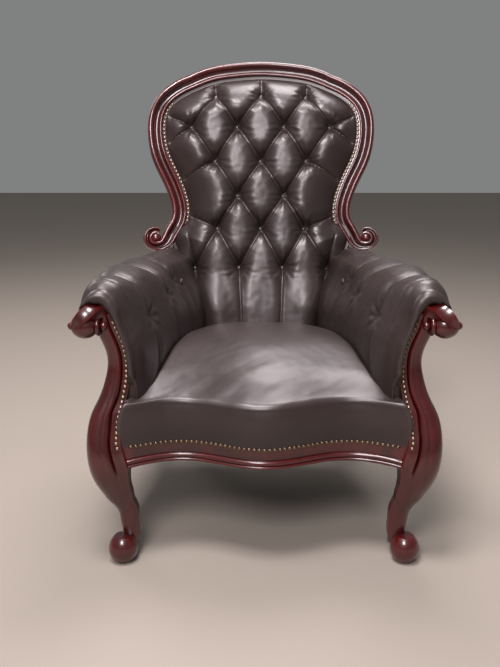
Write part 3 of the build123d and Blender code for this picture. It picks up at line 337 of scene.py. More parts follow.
# The camera's place in millimetres and its tilt down in degrees
CAMERA_PLACE = (-28.0, -1449.0, 842.0)
CAMERA_TILT = 14.5
SENSOR = 36.0

# Guard for logarithms and divisions, a distance past all others, and for joined corners
TINY = 1e-9
FAR = 1e9
MERGE = 1e-6

# Solids by how their names begin
SHOW_WOOD = (
    "front_post", "arm_scroll", "back_post", "front_rail", "crest_rail", "side_rail", "back_rail",
)
HIDDEN_WOOD = (
    "arm_rail", "arm_tack", "back_tack", "front_corner", "rear_corner", "frame_dowels",
)
NAILS = ("hoop_nails", "post_nails", "rail_nails", "side_nails")


# Small helpers

def smooth(share):
    """0 below 0, 1 above 1, smooth in between."""
    share = np.clip(share, 0.0, 1.0)
    return share * share * (3 - 2 * share)


def natural_spline(points, count):
    """Evenly spaced places along a smooth curve through the points."""
    points = np.asarray(points, dtype=float)
    t = np.concatenate([[0], np.cumsum(np.linalg.norm(np.diff(points, axis=0), axis=1))])
    n = len(points)
    h = np.diff(t)
    matrix = np.zeros((n, n))
    right = np.zeros((n, points.shape[1]))
    matrix[0, 0] = matrix[-1, -1] = 1
    for i in range(1, n - 1):
        matrix[i, i - 1] = h[i - 1]
        matrix[i, i] = 2 * (h[i - 1] + h[i])
        matrix[i, i + 1] = h[i]
        right[i] = 6 * ((points[i + 1] - points[i]) / h[i] - (points[i] - points[i - 1]) / h[i - 1])
    bend = np.linalg.solve(matrix, right)
    u = np.linspace(0, t[-1], count)
    i = np.clip(np.searchsorted(t, u) - 1, 0, n - 2)
    a = (t[i + 1] - u)[:, None]
    b = (u - t[i])[:, None]
    w = h[i][:, None]
    return (
        bend[i] * a ** 3 / (6 * w) + bend[i + 1] * b ** 3 / (6 * w)
        + (points[i] / w - bend[i] * w / 6) * a + (points[i + 1] / w - bend[i + 1] * w / 6) * b
    )


def ripple(points, high, pitch, seed):
    """Smooth noise of the given height at each point."""
    shift = Vector((seed * 3.7, seed * 1.3, seed * 2.1))
    return high * np.array([noise.noise(Vector(p) + shift) for p in points * pitch])


def bell(distance, wide):
    """1 at no distance, falling smoothly to 0 over a few widths."""
    return np.exp(-(distance / wide) ** 2)


def puff(share):
    """Round rise of padding, from -1 in a fold to 0 at its crown."""
    return np.sqrt(np.clip(1 - (1 - share) ** 2, 0, 1)) - 1


def placed_along(line, shares):
    """Places at the given shares of a line's length."""
    length = np.concatenate([[0], np.cumsum(np.linalg.norm(np.diff(line, axis=0), axis=1))])
    u = shares * length[-1]
    return np.stack([np.interp(u, length, line[:, k]) for k in range(line.shape[1])], axis=1)


def resample(line, count):
    """Evenly spaced places along a line."""
    return placed_along(line, np.linspace(0, 1, count))


def eased(count, share):
    """Steps from 0 to 1 that are closer together at both ends."""
    t = np.linspace(0, 1, count)
    return (1 - share) * t + share * (0.5 - 0.5 * np.cos(np.pi * t))


def new_mesh(name, points, faces):
    """A smooth shaded mesh object from places in millimetres."""
    verts = np.asarray(points, dtype=float).copy()
    verts[:, 1] += FRONT_LINE
    mesh = bpy.data.meshes.new(name)
    mesh.from_pydata((verts * MM).tolist(), [], faces)
    mesh.validate()
    obj = bpy.data.objects.new(name, mesh)
    bpy.context.scene.collection.objects.link(obj)
    made = bmesh.new()
    made.from_mesh(mesh)
    bmesh.ops.recalc_face_normals(made, faces=made.faces)
    made.to_mesh(mesh)
    made.free()
    mesh.polygons.foreach_set("use_smooth", [True] * len(mesh.polygons))
    mesh.update()
    return obj


def grid_faces(rows, columns, wrap=False, start=0):
    """Quads over rows of points, each row running round if wrap is set."""
    faces = []
    last = columns if wrap else columns - 1
    for i in range(rows - 1):
        for j in range(last):
            k = (j + 1) % columns
            a = start + i * columns
            b = a + columns
            faces.append((a + j, a + k, b + k, b + j))
    return faces


def mirrored_points(points):
    """The same places on the other side of the chair."""
    flipped = np.asarray(points, dtype=float).copy()
    flipped[:, 0] *= -1
    return flipped


# Places on the back

def lean_point(across, up, out):
    """Places by their position on the leaning plane and their rise in front of it."""
    y = BACK_Y + up * math.sin(LEAN) - out * math.cos(LEAN)
    z = BACK_Z + up * math.cos(LEAN) + out * math.sin(LEAN)
    return np.stack([across, y, z], axis=-1)


def up_of(z):
    """A height measured up the leaning plane."""
    return (z - BACK_Z) / math.cos(LEAN)


def hoop_line(inward, count):
    """The left half of the hoop, inward from its outer edge, in the leaning plane's numbers."""
    rise = CHAIR_HEIGHT - HOOP_FOOT
    left = [(-a * HOOP_HALF, HOOP_FOOT + b * rise) for a, b in HOOP_SHARES]
    whole = [(-x, z) for x, z in left[:0:-1]] + left
    line = natural_spline(whole, 2 * count - 1)
    along = np.gradient(line, axis=0)
    along /= np.linalg.norm(along, axis=1)[:, None]
    line = line + np.stack([-along[:, 1], along[:, 0]], axis=1) * inward
    half = line[count - 1:]
    half[0, 0] = 0.0
    return half


def hoop_up(line):
    """Places of the hoop's line, measured up the leaning plane."""
    return up_of(line[:, 1]) - WRAP_FORWARD * (line[:, 0] / WRAP_HALF) ** 2 * math.sin(LEAN)


def wrap_rise(x):
    """How far the hoop's face stands in front of the leaning plane."""
    return WRAP_FORWARD * (x / WRAP_HALF) ** 2 * math.cos(LEAN)


# Material nodes

class Sockets:
    """Wraps one output so that values can be worked out as plain arithmetic."""

    def __init__(self, tree, socket):
        self.tree = tree
        self.socket = socket

    def maths(self, operation, other=None, flip=False, clamp=False):
        """Adds a Math node on this output and a value or another output."""
        first, second = (other, self) if flip else (self, other)
        values = {0: first} if other is None else {0: first, 1: second}
        return self.tree.node("ShaderNodeMath", {"operation": operation, "use_clamp": clamp}, values)

    def __add__(self, other):
        return self.maths("ADD", other)

    __radd__ = __add__

    def __mul__(self, other):
        return self.maths("MULTIPLY", other)

    __rmul__ = __mul__

    def __sub__(self, other):
        return self.maths("SUBTRACT", other)

    def __rsub__(self, other):
        return self.maths("SUBTRACT", other, flip=True)

    def clamped(self):
        """Held between 0 and 1."""
        return self.maths("ADD", 0.0, clamp=True)

    def between(self, low, high):
        """0 below low, 1 above high, smooth in between."""
        return self.tree.node(
            "ShaderNodeMapRange", {"interpolation_type": "SMOOTHSTEP"}, {0: self, 1: low, 2: high}
        )


class Finish:
    """A material on one Principled shader."""

    def __init__(self, name):
        self.material = bpy.data.materials.new(name)
        self.material.use_nodes = True
        self.nodes = self.material.node_tree.nodes
        self.links = self.material.node_tree.links
        self.shader = self.nodes["Principled BSDF"]

    def node(self, kind, settings=None, values=None, output=0):
        """Adds any node: its settings first, then the values or links of its sockets."""
        made = self.nodes.new(kind)
        for key, value in (settings or {}).items():
            setattr(made, key, value)
        for key, value in (values or {}).items():
            self.plug(made.inputs[key], value)
        return Sockets(self, made.outputs[output])

    def plug(self, target, value):
        """Links a wrapped output to a socket, or sets a plain value."""
        if isinstance(value, Sockets):
            self.links.new(value.socket, target)
        else:
            target.default_value = value

    def set(self, **values):
        """Sets or links the shader's inputs, named with underscores."""
        for key, value in values.items():
            self.plug(self.shader.inputs[key.replace("_", " ")], value)

    def place(self):
        """Places on the object, in metres."""
        return self.node("ShaderNodeTexCoord", output=3)

    def stretched(self, x, y, z):
        """Places on the object, scaled along each axis."""
        values = {0: self.place(), 1: (x, y, z)}
        return self.node("ShaderNodeVectorMath", {"operation": "MULTIPLY"}, values)

    def pointiness(self):
        """About 0.5 where the surface is flat, less in hollows and more on ridges."""
        return self.node("ShaderNodeNewGeometry", output=7)

    def noise(self, vector, scale, detail=2.0, rough=0.5):
        """Cloudy values round 0.5."""
        values = {"Vector": vector, "Scale": scale, "Detail": detail, "Roughness": rough}
        return self.node("ShaderNodeTexNoise", None, values)

    def mix(self, factor, first, second):
        """A colour between two plain colours."""
        values = {0: factor, 6: (*first, 1), 7: (*second, 1)}
        return self.node("ShaderNodeMix", {"data_type": "RGBA"}, values, 2)

    def bump(self, height, strength, distance):
        """Fine relief of the surface."""
        values = {"Strength": strength, "Distance": distance, "Height": height}
        self.set(Normal=self.node("ShaderNodeBump", None, values))


def shade(obj, material):
    """Gives an object one material in all its slots."""
    if obj.data.materials:
        for i in range(len(obj.data.materials)):
            obj.data.materials[i] = material
    else:
        obj.data.materials.append(material)


def leather_finish(name, base, worn):
    """Polished dark hide: rubbed lighter on its crowns, dull and painted darker in its hollows as
    shade, with a fine grain.
    """
    f = Finish(name)
    place = f.place()
    broad = f.noise(place, 9.0, 4.0, 0.6)
    fine = f.noise(place, 60.0, 3.0)
    crown = f.pointiness().between(0.49, 0.56)
    cavity = 1.0 - f.pointiness().between(0.40, 0.49)
    # Crowns rubbed lighter and the broad tone are wear; the darkening in hollows (cavity) is painted
    # shade
    wear_and_painted_shade = (crown * 0.55 + broad * 0.6 - 0.15 - cavity * 0.5).clamped()
    f.set(Base_Color=f.mix(wear_and_painted_shade, base, worn))
    f.set(Roughness=0.31 + broad * 0.14 + fine * 0.06 + cavity * 0.25)
    f.set(Coat_Weight=0.15, Coat_Roughness=0.25)
    f.set(Specular_IOR_Level=0.6, Specular_Tint=(1.0, 0.92, 0.94, 1))
    cells = f.node(
        "ShaderNodeTexVoronoi", {"feature": "DISTANCE_TO_EDGE"}, {"Vector": place, "Scale": 620.0}
    ).between(0.0, 0.35)
    creases = f.noise(place, 120.0, 5.0, 0.65)
    f.bump(cells * 0.3 + creases * 0.6 + broad * 0.6, 0.12, 0.0010)
    return f.material


def mahogany_finish(name, deep, warm):
    """Deep red polished wood with dark streaks, painted lighter on raised mouldings and darker in
    recesses as shade.
    """
    f = Finish(name)
    streak = f.stretched(1.0, 1.0, 0.12)
    grain = f.noise(streak, 90.0, 5.0, 0.6)
    clouds = f.noise(f.place(), 7.0, 3.0)
    # Raised mouldings lighter and recesses darker is painted shade, mixed with the grain and cloud tone
    raised = f.pointiness().between(0.46, 0.56)
    light = (grain * 0.55 + clouds * 0.6 + raised * 0.35 - 0.42).clamped()
    f.set(Base_Color=f.mix(light, deep, warm))
    f.set(Roughness=0.26 + grain * 0.10, Coat_Weight=0.6, Coat_Roughness=0.10)
    f.bump(grain, 0.05, 0.0004)
    return f.material


def brass_finish(name, dark, bright):
    """Tarnished brass, brighter where it is rubbed."""
    f = Finish(name)
    patches = f.noise(f.place(), 260.0, 3.0)
    raised = f.pointiness().between(0.5, 0.6)
    f.set(Base_Color=f.mix((patches * 0.6 + raised * 0.6).clamped(), dark, bright), Metallic=1.0)
    f.set(Roughness=0.30 + patches * 0.2)
    return f.material


def cloth_finish(name, dark, light, scale):
    """Plain woven cloth."""
    f = Finish(name)
    place = f.place()
    values = {"Vector": place, "Scale": scale}
    warp = f.node("ShaderNodeTexWave", {"bands_direction": "X"}, values) * 0.5
    weft = f.node("ShaderNodeTexWave", {"bands_direction": "Y"}, values) * 0.5
    both = warp + weft
    f.set(Base_Color=f.mix(both, dark, light), Roughness=0.9)
    f.bump(both, 0.3, 0.0008)
    return f.material


def plain_wood_finish(name, dark, light):
    """Unpolished wood of the hidden rails."""
    f = Finish(name)
    grain = f.noise(f.stretched(1.0, 0.1, 1.0), 80.0, 4.0)
    f.set(Base_Color=f.mix(grain, dark, light), Roughness=0.6 + grain * 0.15)
    f.bump(grain, 0.1, 0.0005)
    return f.material


def steel_finish(name, tint):
    """Dull wire or screw metal."""
    f = Finish(name)
    spots = f.noise(f.place(), 300.0, 2.0)
    dull = tuple(0.6 * c for c in tint)
    f.set(Base_Color=f.mix(spots, tint, dull), Metallic=1.0, Roughness=0.35 + spots * 0.2)
    return f.material


# The back: buttons, folds and the height of the leather

def back_buttons():
    """Places of the back's buttons on the leaning plane."""
    return [(x, up_of(z)) for z, places in BUTTON_ROWS for x in places]


def back_folds():
    """Fold lines as pairs of places on the leaning plane."""
    folds = []
    rows = [(up_of(z), places) for z, places in BUTTON_ROWS]
    for (up, places), (lower, others) in zip(rows, rows[1:]):
        for x in places:
            for other in others:
                if abs(x - other) < FOLD_SPAN:
                    folds.append(((x, up), (other, lower)))
    first, places = rows[0]
    for x in places:
        folds.append(((x, first), (TOP_FOLD_SPREAD * x, first + TOP_FOLD_LENGTH)))
    for start, end in EDGE_FOLDS:
        for side in (-1, 1):
            folds.append(((side * start[0], up_of(start[1])), (side * end[0], up_of(end[1]))))
    last, places = rows[-1]
    for x in places:
        folds.append(((x, last), (LOW_FOLD_SPREAD * x, up_of(LOW_FOLD_END))))
    return folds


def segment_distance(points, a, b):
    """Distance of places from a line between two places, and the side they lie on."""
    a = np.asarray(a, dtype=float)
    b = np.asarray(b, dtype=float)
    along = b - a
    share = np.clip(((points - a) @ along) / (along @ along), 0, 1)
    offset = points - (a + share[:, None] * along)
    side = along[0] * offset[:, 1] - along[1] * offset[:, 0]
    return np.linalg.norm(offset, axis=1), np.sign(side)


def tufted(points, sizes):
    """Rise and fall of buttoned leather over the padding, for places on a plane."""
    total = np.zeros(len(points))
    lap = np.zeros(len(points))
    for a, b in back_folds():
        distance, side = segment_distance(points, a, b)
        total += np.exp(-distance / FOLD_BLEND)
        lap += np.where(side > 0, LAP_RISE, LAP_FALL) * bell(distance - LAP_AT, LAP_WIDE)
    nearest = np.maximum(-FOLD_BLEND * np.log(total + TINY), 0)
    radius = np.full(len(points), FAR)
    wrinkle = np.zeros(len(points))
    for k, (x, up) in enumerate(back_buttons()):
        dx = points[:, 0] - x
        dy = points[:, 1] - up
        r = np.hypot(dx, dy)
        radius = np.minimum(radius, r)
        angle = np.arctan2(dy, dx)
        rays = sum(np.sin(count * angle + turn * k) for count, turn in GATHER_RAYS) / len(GATHER_RAYS)
        wrinkle += sizes.wrinkles * rays * bell(r - GATHER_AT, GATHER_WIDE)
        sway = CREASE_SWAY * np.sin(dx * CREASE_SWAY_PITCH + k)
        level = np.sin(dy * CREASE_PITCH + sway) * bell(dy + CREASE_BELOW, CREASE_BAND)
        wrinkle += CREASE_SHARE * sizes.wrinkles * level * bell(np.abs(dx) - GATHER_AT, CREASE_SIDE)
    near = bell(radius, PULL_REACH)
    deep = sizes.fold_deep + (sizes.tuft_deep - sizes.fold_deep) * near
    half = PUFF_HALF + (sizes.tuft_half - PUFF_HALF) * near
    rise = deep * puff(np.clip(nearest / half, 0, 1))
    pit = sizes.pit_deep * (bell(radius, PIT_HALF) + PIT_SPREAD_SHARE * bell(radius, PIT_SPREAD))
    return rise + lap - pit + wrinkle


def back_outline():
    """The left edge of the back's leather from the seat up, and its top from left to right."""
    upper = hoop_line(BACK_INSET, HOOP_STEPS)
    upper = upper[upper[:, 1] > BACK_JOINS_HOOP]
    left = np.stack([upper[:, 0], hoop_up(upper)], axis=1)[::-1]
    low = np.array([(-x, up_of(z)) for x, z in BACK_FOOT])
    foot = natural_spline(np.concatenate([low, left[:1]]), FOOT_STEPS)[:-1]
    left = np.concatenate([foot, left])
    away = np.abs(left[:, 1] - up_of(BACK_CORNER))
    away[left[:, 1] < up_of(BACK_WAIST)] = FAR
    corner = int(np.argmin(away))
    side = left[:corner + 1]
    top = left[corner:]
    return side, np.concatenate([top, mirrored_points(top)[-2::-1]])


def back_rise(points, sizes):
    """How far the leather stands in front of the leaning plane at each place."""
    side, top = back_outline()
    whole = np.concatenate([side, top[1:], mirrored_points(side)[-2::-1]])[::3]
    edge = np.full(len(points), FAR)
    for a, b in zip(whole[:-1], whole[1:]):
        edge = np.minimum(edge, segment_distance(points, a, b)[0])
    rise = 1 - (1 - np.clip((edge - EDGE_BAND) / EDGE_REACH, 0, 1)) ** EDGE_POWER
    land = wrap_rise(points[:, 0]) - LAND_DROP + EDGE_LIFT
    flat = np.column_stack([points, np.zeros(len(points))])
    crown = sizes.back_rise + ripple(flat, *BACK_SLACK)
    low = smooth((up_of(LOW_TOP) - points[:, 1]) / LOW_BAND)
    side_rise = LOW_SIDE_RISE * smooth((np.abs(points[:, 0]) - LOW_SIDE_START) / LOW_BAND)
    forward = low * (LOW_RISE + side_rise)
    tuft = tufted(points, sizes) * smooth((edge - EDGE_BAND) / TUFT_BAND)
    fine = ripple(flat, *BACK_FINE) * smooth((edge - FINE_START) / FINE_BAND)
    return land * (1 - rise) + (crown + forward) * rise + tuft + fine


def make_back(sizes):
    """A surface stretched between the foot, the sides and the top of the back."""
    side, top = back_outline()
    rows, columns = BACK_GRID
    v = eased(rows, BACK_CROWDING[0])
    u = eased(columns, BACK_CROWDING[1])
    left = placed_along(side, v)
    right = mirrored_points(left)
    over = placed_along(top, u)
    under = left[0] + (right[0] - left[0]) * u[:, None]
    u = u[None, :, None]
    v = v[:, None, None]
    across = left[:, None] * (1 - u) + right[:, None] * u
    upward = under[None] * (1 - v) + over[None] * v
    corners = (left[0] * (1 - u) + right[0] * u) * (1 - v) + (left[-1] * (1 - u) + right[-1] * u) * v
    plane = (across + upward - corners).reshape(-1, 2)
    places = lean_point(plane[:, 0], plane[:, 1], back_rise(plane, sizes))
    return new_mesh("back_leather", places, grid_faces(rows, columns))


# Arms

def arm_keys(row):
    """The padded line of an arm at one station: distance inward from the rail point, and height."""
    rail_x, rail_y, face_x, face_y, top = row
    wide = math.hypot(rail_x - face_x, rail_y - face_y)
    behind = smooth((rail_y - REAR_START) / REAR_BAND)
    shoulder = wide - SHOULDER_IN - SHOULDER_MORE * behind
    turn = TURN_SHARE * top + (1 - TURN_SHARE) * SHOULDER + TURN_LIFT
    keys = [(wide, z) for z in ARM_FACE]
    keys += [(wide - ARM_BEND_IN - ARM_BEND_MORE * behind, ARM_BEND), (shoulder, SHOULDER)]
    keys += [(TURN_AT * shoulder, turn)]
    keys += [(share * shoulder, top - drop) for share, drop in ARM_TOP]
    keys += [(CREST_AT * wide, top)]
    keys += [(out, top - drop) for out, drop in ARM_ROLL]
    return np.array([*keys, *ARM_UNDER], dtype=float)


def arm_rows():
    """Padded lines along a left arm, with the station that each one lies at."""
    count, columns = ARM_GRID
    stations = [(i * STATION_STEP, *row) for i, row in enumerate(ARM_STATIONS)]
    table = natural_spline(stations, count)
    index = table[:, 0] / STATION_STEP
    rows = []
    for row in table[:, 1:]:
        keys = resample(natural_spline(arm_keys(row), ARM_KEY_STEPS), columns)
        rail_x, rail_y, face_x, face_y = row[:4]
        inward = np.array([rail_x - face_x, face_y - rail_y])
        inward /= np.linalg.norm(inward)
        places = np.empty((columns, 3))
        places[:, 0] = -rail_x + keys[:, 0] * inward[0]
        places[:, 1] = rail_y + keys[:, 0] * inward[1]
        places[:, 2] = keys[:, 1]
        rows.append(places)
    return index, np.array(rows)


def outward_of(rows):
    """Unit normals of a grid of points, pointing away from the padding."""
    along = np.gradient(rows, axis=0)
    across = np.gradient(rows, axis=1)
    normal = np.cross(across, along)
    normal /= np.linalg.norm(normal, axis=2)[:, :, None] + TINY
    centre = rows.mean(axis=1, keepdims=True)
    return normal * np.sign(((rows - centre) * normal).sum())


def arm_front(rows, sizes):
    """The front of an arm: a rolled lip, then the leather drawn in to the nails beside the post."""
    first = rows[0]
    columns = len(first)
    nails = nail_line()
    over = np.concatenate([nails[-1:], np.array(ARM_TUCK, dtype=float)])
    shoulder = int(np.argmax(first[:, 2] > nails[-1, 2]))
    target = np.empty_like(first)
    for k in range(3):
        target[:shoulder, k] = np.interp(first[:shoulder, 2], nails[:, 2], nails[:, k])
    target[shoulder:] = placed_along(over, np.linspace(0, 1, columns - shoulder))
    low = smooth((LOW_FRONT - first[:, 2]) / LOW_FRONT_BAND) * (np.arange(columns) < shoulder)
    target[:, 1] = (target[:, 1] + NAIL_REST) * (1 - low) + LOW_FRONT_BACK * low
    across = target - first
    across[:, 1] = 0
    reach = np.linalg.norm(across, axis=1)
    lip = np.minimum(sizes.arm_lip, LIP_SHARE * reach)
    across *= (lip / reach)[:, None]
    rings = []
    for turn in np.linspace(0, math.pi, LIP_RINGS)[1:]:
        ring = first + across * (1 - math.cos(turn))
        ring[:, 1] += LOW_FRONT_STEP * low * turn / math.pi
        ring[:, 1] -= sizes.arm_front * math.sin(turn) * (1 - low)
        rings.append(ring)
    last = rings[-1]
    for share in np.linspace(0, 1, FRONT_RINGS)[1:]:
        ring = last + (target - last) * share
        ring[:, 1] += FRONT_DISH * math.sin(math.pi * share)
        rings.append(ring)
    return np.array(rings)[::-1]


def arm_pleats(index, rows, sizes):
    """Rise and fall of the pleats and of the seam, over the grid of an arm."""
    run = np.linspace(0, 1, rows.shape[1])[None, :]
    middle = rows[:, ARM_MIDDLE, 1]
    along = middle[:, None]
    total = np.zeros(rows.shape[:2])
    lap = np.zeros(rows.shape[:2])
    for k, pleat in enumerate(ARM_PLEATS):
        sway = PLEAT_SWAY * (np.sin(run * PLEAT_SWAY_TURNS + k) - np.sin(PLEAT_SWAY_START + k))
        y = np.interp(pleat, index, middle) + sway
        total += np.exp(-np.abs(along - y) / PLEAT_BLEND)
        height = np.where(along > y, PLEAT_LAP_RISE, PLEAT_LAP_FALL)
        lap += height * bell(np.abs(along - y) - LAP_AT, PLEAT_LAP_WIDE)
    nearest = np.maximum(-PLEAT_BLEND * np.log(total + TINY), 0)
    fade = 1 - smooth((run - PLEAT_END) / PLEAT_END_BAND)
    rise = (sizes.arm_tuft * puff(np.clip(nearest / PLEAT_HALF, 0, 1)) + lap) * fade
    seam = np.exp(-np.abs(along - ARM_SEAM) / SEAM_WIDE) * smooth((run - SEAM_START) / SEAM_START_BAND)
    return rise - SEAM_DEEP * seam * fade


def arm_pits(index, rows, sizes):
    """Hollows of an arm's buttons, with the gathers round them."""
    rise = np.zeros(rows.shape[:2])
    for k, (pleat, high) in enumerate(zip(ARM_PLEATS, ARM_BUTTONS_HIGH)):
        i = int(np.argmin(np.abs(index - pleat)))
        j = int(np.argmin(np.abs(rows[i, :ARM_FACE_END, 2] - high)))
        away = rows - rows[i, j]
        r = np.linalg.norm(away, axis=2)
        angle = np.arctan2(away[:, :, 2], away[:, :, 1])
        rise -= sizes.pit_deep * np.exp(-(r / ARM_PIT_HALF) ** ARM_PIT_POWER)
        rise += sizes.wrinkles * np.sin(ARM_RAYS * angle + k) * bell(r - ARM_RAYS_AT, ARM_RAYS_WIDE)
    return rise


def make_arm(sizes, side):
    """One arm, made on the left and mirrored for the right."""
    index, rows = arm_rows()
    normal = outward_of(rows)
    rise = arm_pleats(index, rows, sizes) + arm_pits(index, rows, sizes)
    for slack in ARM_SLACK:
        rise += ripple(rows.reshape(-1, 3), *slack).reshape(rise.shape)
    rows = rows + normal * rise[:, :, None]
    rows = np.concatenate([arm_front(rows, sizes), rows])
    points = rows.reshape(-1, 3)
    if side > 0:
        points = mirrored_points(points)
    name = "arm_leather_left" if side < 0 else "arm_leather_right"
    return new_mesh(name, points, grid_faces(*rows.shape[:2]))


def loose_centres(node):
    """Middle of each separate solid of a CAD node, in millimetres from the front line."""
    made = bmesh.new()
    made.from_mesh(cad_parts[node].data)
    bmesh.ops.remove_doubles(made, verts=made.verts, dist=MERGE)
    seen = set()
    centres = []
    for vert in made.verts:
        if vert in seen:
            continue
        group = [vert]
        seen.add(vert)
        for v in group:
            for edge in v.link_edges:
                other = edge.other_vert(v)
                if other not in seen:
                    seen.add(other)
                    group.append(other)
        centre = sum((v.co for v in group), Vector()) / len(group)
        centres.append((centre.x / MM, centre.y / MM - FRONT_LINE, centre.z / MM))
    made.free()
    return np.array(centres)


def nail_line():
    """Centres of the nails beside the left front post, from the lowest up."""
    centres = loose_centres("post_nails_left")
    return centres[np.argsort(centres[:, 2])]


# Seat

def front_edge(x):
    """The front rail's curve in plan."""
    return FRONT_MEAN - FRONT_SWING * np.cos(np.pi * x / FRONT_WAVE)


def seat_outline(push):
    """The seat in plan, its front pushed forward, most so in the middle."""
    xs = np.linspace(0, -SEAT_HALF, FRONT_STEPS)
    forward = push * (1 - FRONT_EASE * (xs / SEAT_HALF) ** FRONT_EASE_POWER)
    front = np.stack([xs, front_edge(xs) + FRONT_FIT - forward], axis=1)
    side = natural_spline(SEAT_SIDE, SIDE_STEPS)
    left = resample(np.concatenate([front, np.array(SEAT_CORNER, dtype=float), side]), SEAT_COLUMNS)
    return np.concatenate([left, mirrored_points(left)[-2:0:-1]])


def seat_height(flat, swell):
    """Height of the seat's top at places in plan: a low front edge, a crown, and a fall to the back."""
    line = natural_spline(SEAT_CROWN, CROWN_STEPS)
    behind = flat[:, 1] - front_edge(flat[:, 0]) + swell
    crown = np.interp(behind, line[:, 0], line[:, 1])
    half = np.interp(flat[:, 1], *SEAT_HALVES)
    across = np.clip(np.abs(flat[:, 0]) / half, 0, SIDE_FALL_LIMIT)
    return crown - np.interp(behind, *SIDE_FALL) * across ** SIDE_FALL_POWER


def seat_rows(sizes):
    """Rings of the seat: up the wall, round its edge, and over the top to the middle."""
    base = seat_outline(0.0)
    push = seat_outline(1.0) - base
    nails = nail_line()
    centre = np.array(SEAT_MIDDLE)

    def placed(turn, level):
        flat = base + push * (sizes.seat_bulge * math.sin(SWELL_TURN * math.pi * turn))
        wide = np.interp(level, nails[:, 2], -nails[:, 0]) - NAIL_GAP
        ease = smooth((np.abs(flat[:, 0]) - CORNER_START) / CORNER_BAND) * (flat[:, 1] < CORNER_DEPTH)
        flat[:, 0] += np.sign(flat[:, 0]) * (wide - SEAT_HALF) * ease
        return flat

    rim = placed(1.0, np.full(len(base), SEAT_EDGE))
    swell = sizes.seat_bulge * math.sin(SWELL_TURN * math.pi)
    edge = seat_height(rim, swell) - sizes.seat_round
    rows = []
    for share in np.linspace(0, 1, WALL_ROWS):
        level = SEAT_FOOT + (edge - SEAT_FOOT) * share
        rows.append(np.column_stack([placed(share, level), level]))
    inward = centre - rim
    inward /= np.linalg.norm(inward, axis=1)[:, None]
    for turn in np.linspace(0, math.pi / 2, ROUND_ROWS)[1:]:
        flat = rim + inward * (sizes.seat_round * (1 - math.cos(turn)))
        drop = sizes.seat_round * (1 - math.sin(turn))
        rows.append(np.column_stack([flat, seat_height(flat, swell) - drop]))
    inner = flat
    for share in np.linspace(0, TOP_END, TOP_ROWS)[1:]:
        flat = inner + (centre - inner) * share
        rows.append(np.column_stack([flat, seat_height(flat, swell)]))
    return rows


def make_seat(sizes):
    """The seat's leather, wrinkled across its front and puckered above the nails."""
    rows = seat_rows(sizes)
    flat = np.concatenate(rows)
    x, y, z = flat.T.copy()
    front = smooth((FOLDS_END - y) / FOLDS_BAND) * smooth((z - FOLDS_FOOT) / FOLDS_FOOT_BAND)
    a, b, c = SEAT_SLANT
    turned = np.column_stack([a * x + b * y, a * y - b * x, c * z])
    folds = sum(ripple(turned, high, np.array(pitch), seed) for high, pitch, seed in SEAT_FOLDS)
    slack = sum(ripple(flat, *values) for values in SEAT_SLACK)
    pucker = PUCKER * np.sin(x * PUCKER_PITCH) * np.exp(-(z - SEAT_FOOT) / PUCKER_HIGH)
    flat[:, 2] += smooth((z - SLACK_FOOT) / SLACK_BAND) * slack + front * folds
    forward = FOLDS_FORWARD * front * folds + pucker
    flat[:, 1] -= forward * smooth((FRONT_REACH - y) / (2 * FRONT_REACH))
    return new_mesh("seat_leather", flat, grid_faces(len(rows), len(rows[0]), True))


# Panels

def sheet_from_node(name, node):
    """A leather panel over a CAD panel: its faces cut fine, with a slight slackness."""
    made = bmesh.new()
    made.from_mesh(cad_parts[node].data)
    bmesh.ops.remove_doubles(made, verts=made.verts, dist=MERGE)
    for _ in range(PANEL_ROUNDS):
        long = [edge for edge in made.edges if edge.calc_length() > PANEL_EDGE]
        if not long:
            break
        bmesh.ops.subdivide_edges(made, edges=long, cuts=1, use_grid_fill=True)
        bmesh.ops.triangulate(made, faces=[f for f in made.faces if len(f.verts) > 4])
    made.normal_update()
    for vert in made.verts:
        lift = sum(noise.noise(vert.co * pitch) * high for high, pitch in PANEL_SLACK)
        vert.co += vert.normal * lift * MM
    mesh = bpy.data.meshes.new(name)
    made.to_mesh(mesh)
    made.free()
    mesh.polygons.foreach_set("use_smooth", [True] * len(mesh.polygons))
    obj = bpy.data.objects.new(name, mesh)
    bpy.context.scene.collection.objects.link(obj)
    mesh.set_sharp_from_angle(angle=math.radians(PANEL_SHARP))
    return obj


# Buttons

def make_button(name, places):
    """Leather covered buttons: a domed disc with a gathered rim, one for each place and direction."""
    verts = []
    faces = []
    for centre, out in places:
        out = Vector(out).normalized()
        side = out.orthogonal().normalized()
        up = out.cross(side)
        start = len(verts)
        for r, h in BUTTON_RINGS:
            for k in range(BUTTON_SPOKES):
                angle = 2 * math.pi * k / BUTTON_SPOKES
                deep = BUTTON_GATHER_DEEP if r > BUTTON_GATHER_FROM else 0.0
                radius = r * (1 + deep * math.cos(angle * BUTTON_GATHERS))
                turn = side * (radius * math.cos(angle)) + up * (radius * math.sin(angle))
                verts.append(tuple(Vector(centre) + turn + out * h))
        faces += grid_faces(len(BUTTON_RINGS), BUTTON_SPOKES, True, start)
        faces.append(tuple(range(len(verts) - BUTTON_SPOKES, len(verts))))
        faces.append(tuple(range(start + BUTTON_SPOKES - 1, start - 1, -1)))
    return new_mesh(name, verts, faces)


# Settings the panel shows

def length(name, description, default, low, high):
    """A length in metres that the panel shows."""
    return FloatProperty(
        name=name, description=description, default=default, min=low, max=high,
        subtype="DISTANCE", unit="LENGTH", precision=4,
    )


def colour(name, description, default):
    """A colour that the panel shows."""
    return FloatVectorProperty(
        name=name, description=description, default=default, min=0, max=1, subtype="COLOR", size=3,
    )


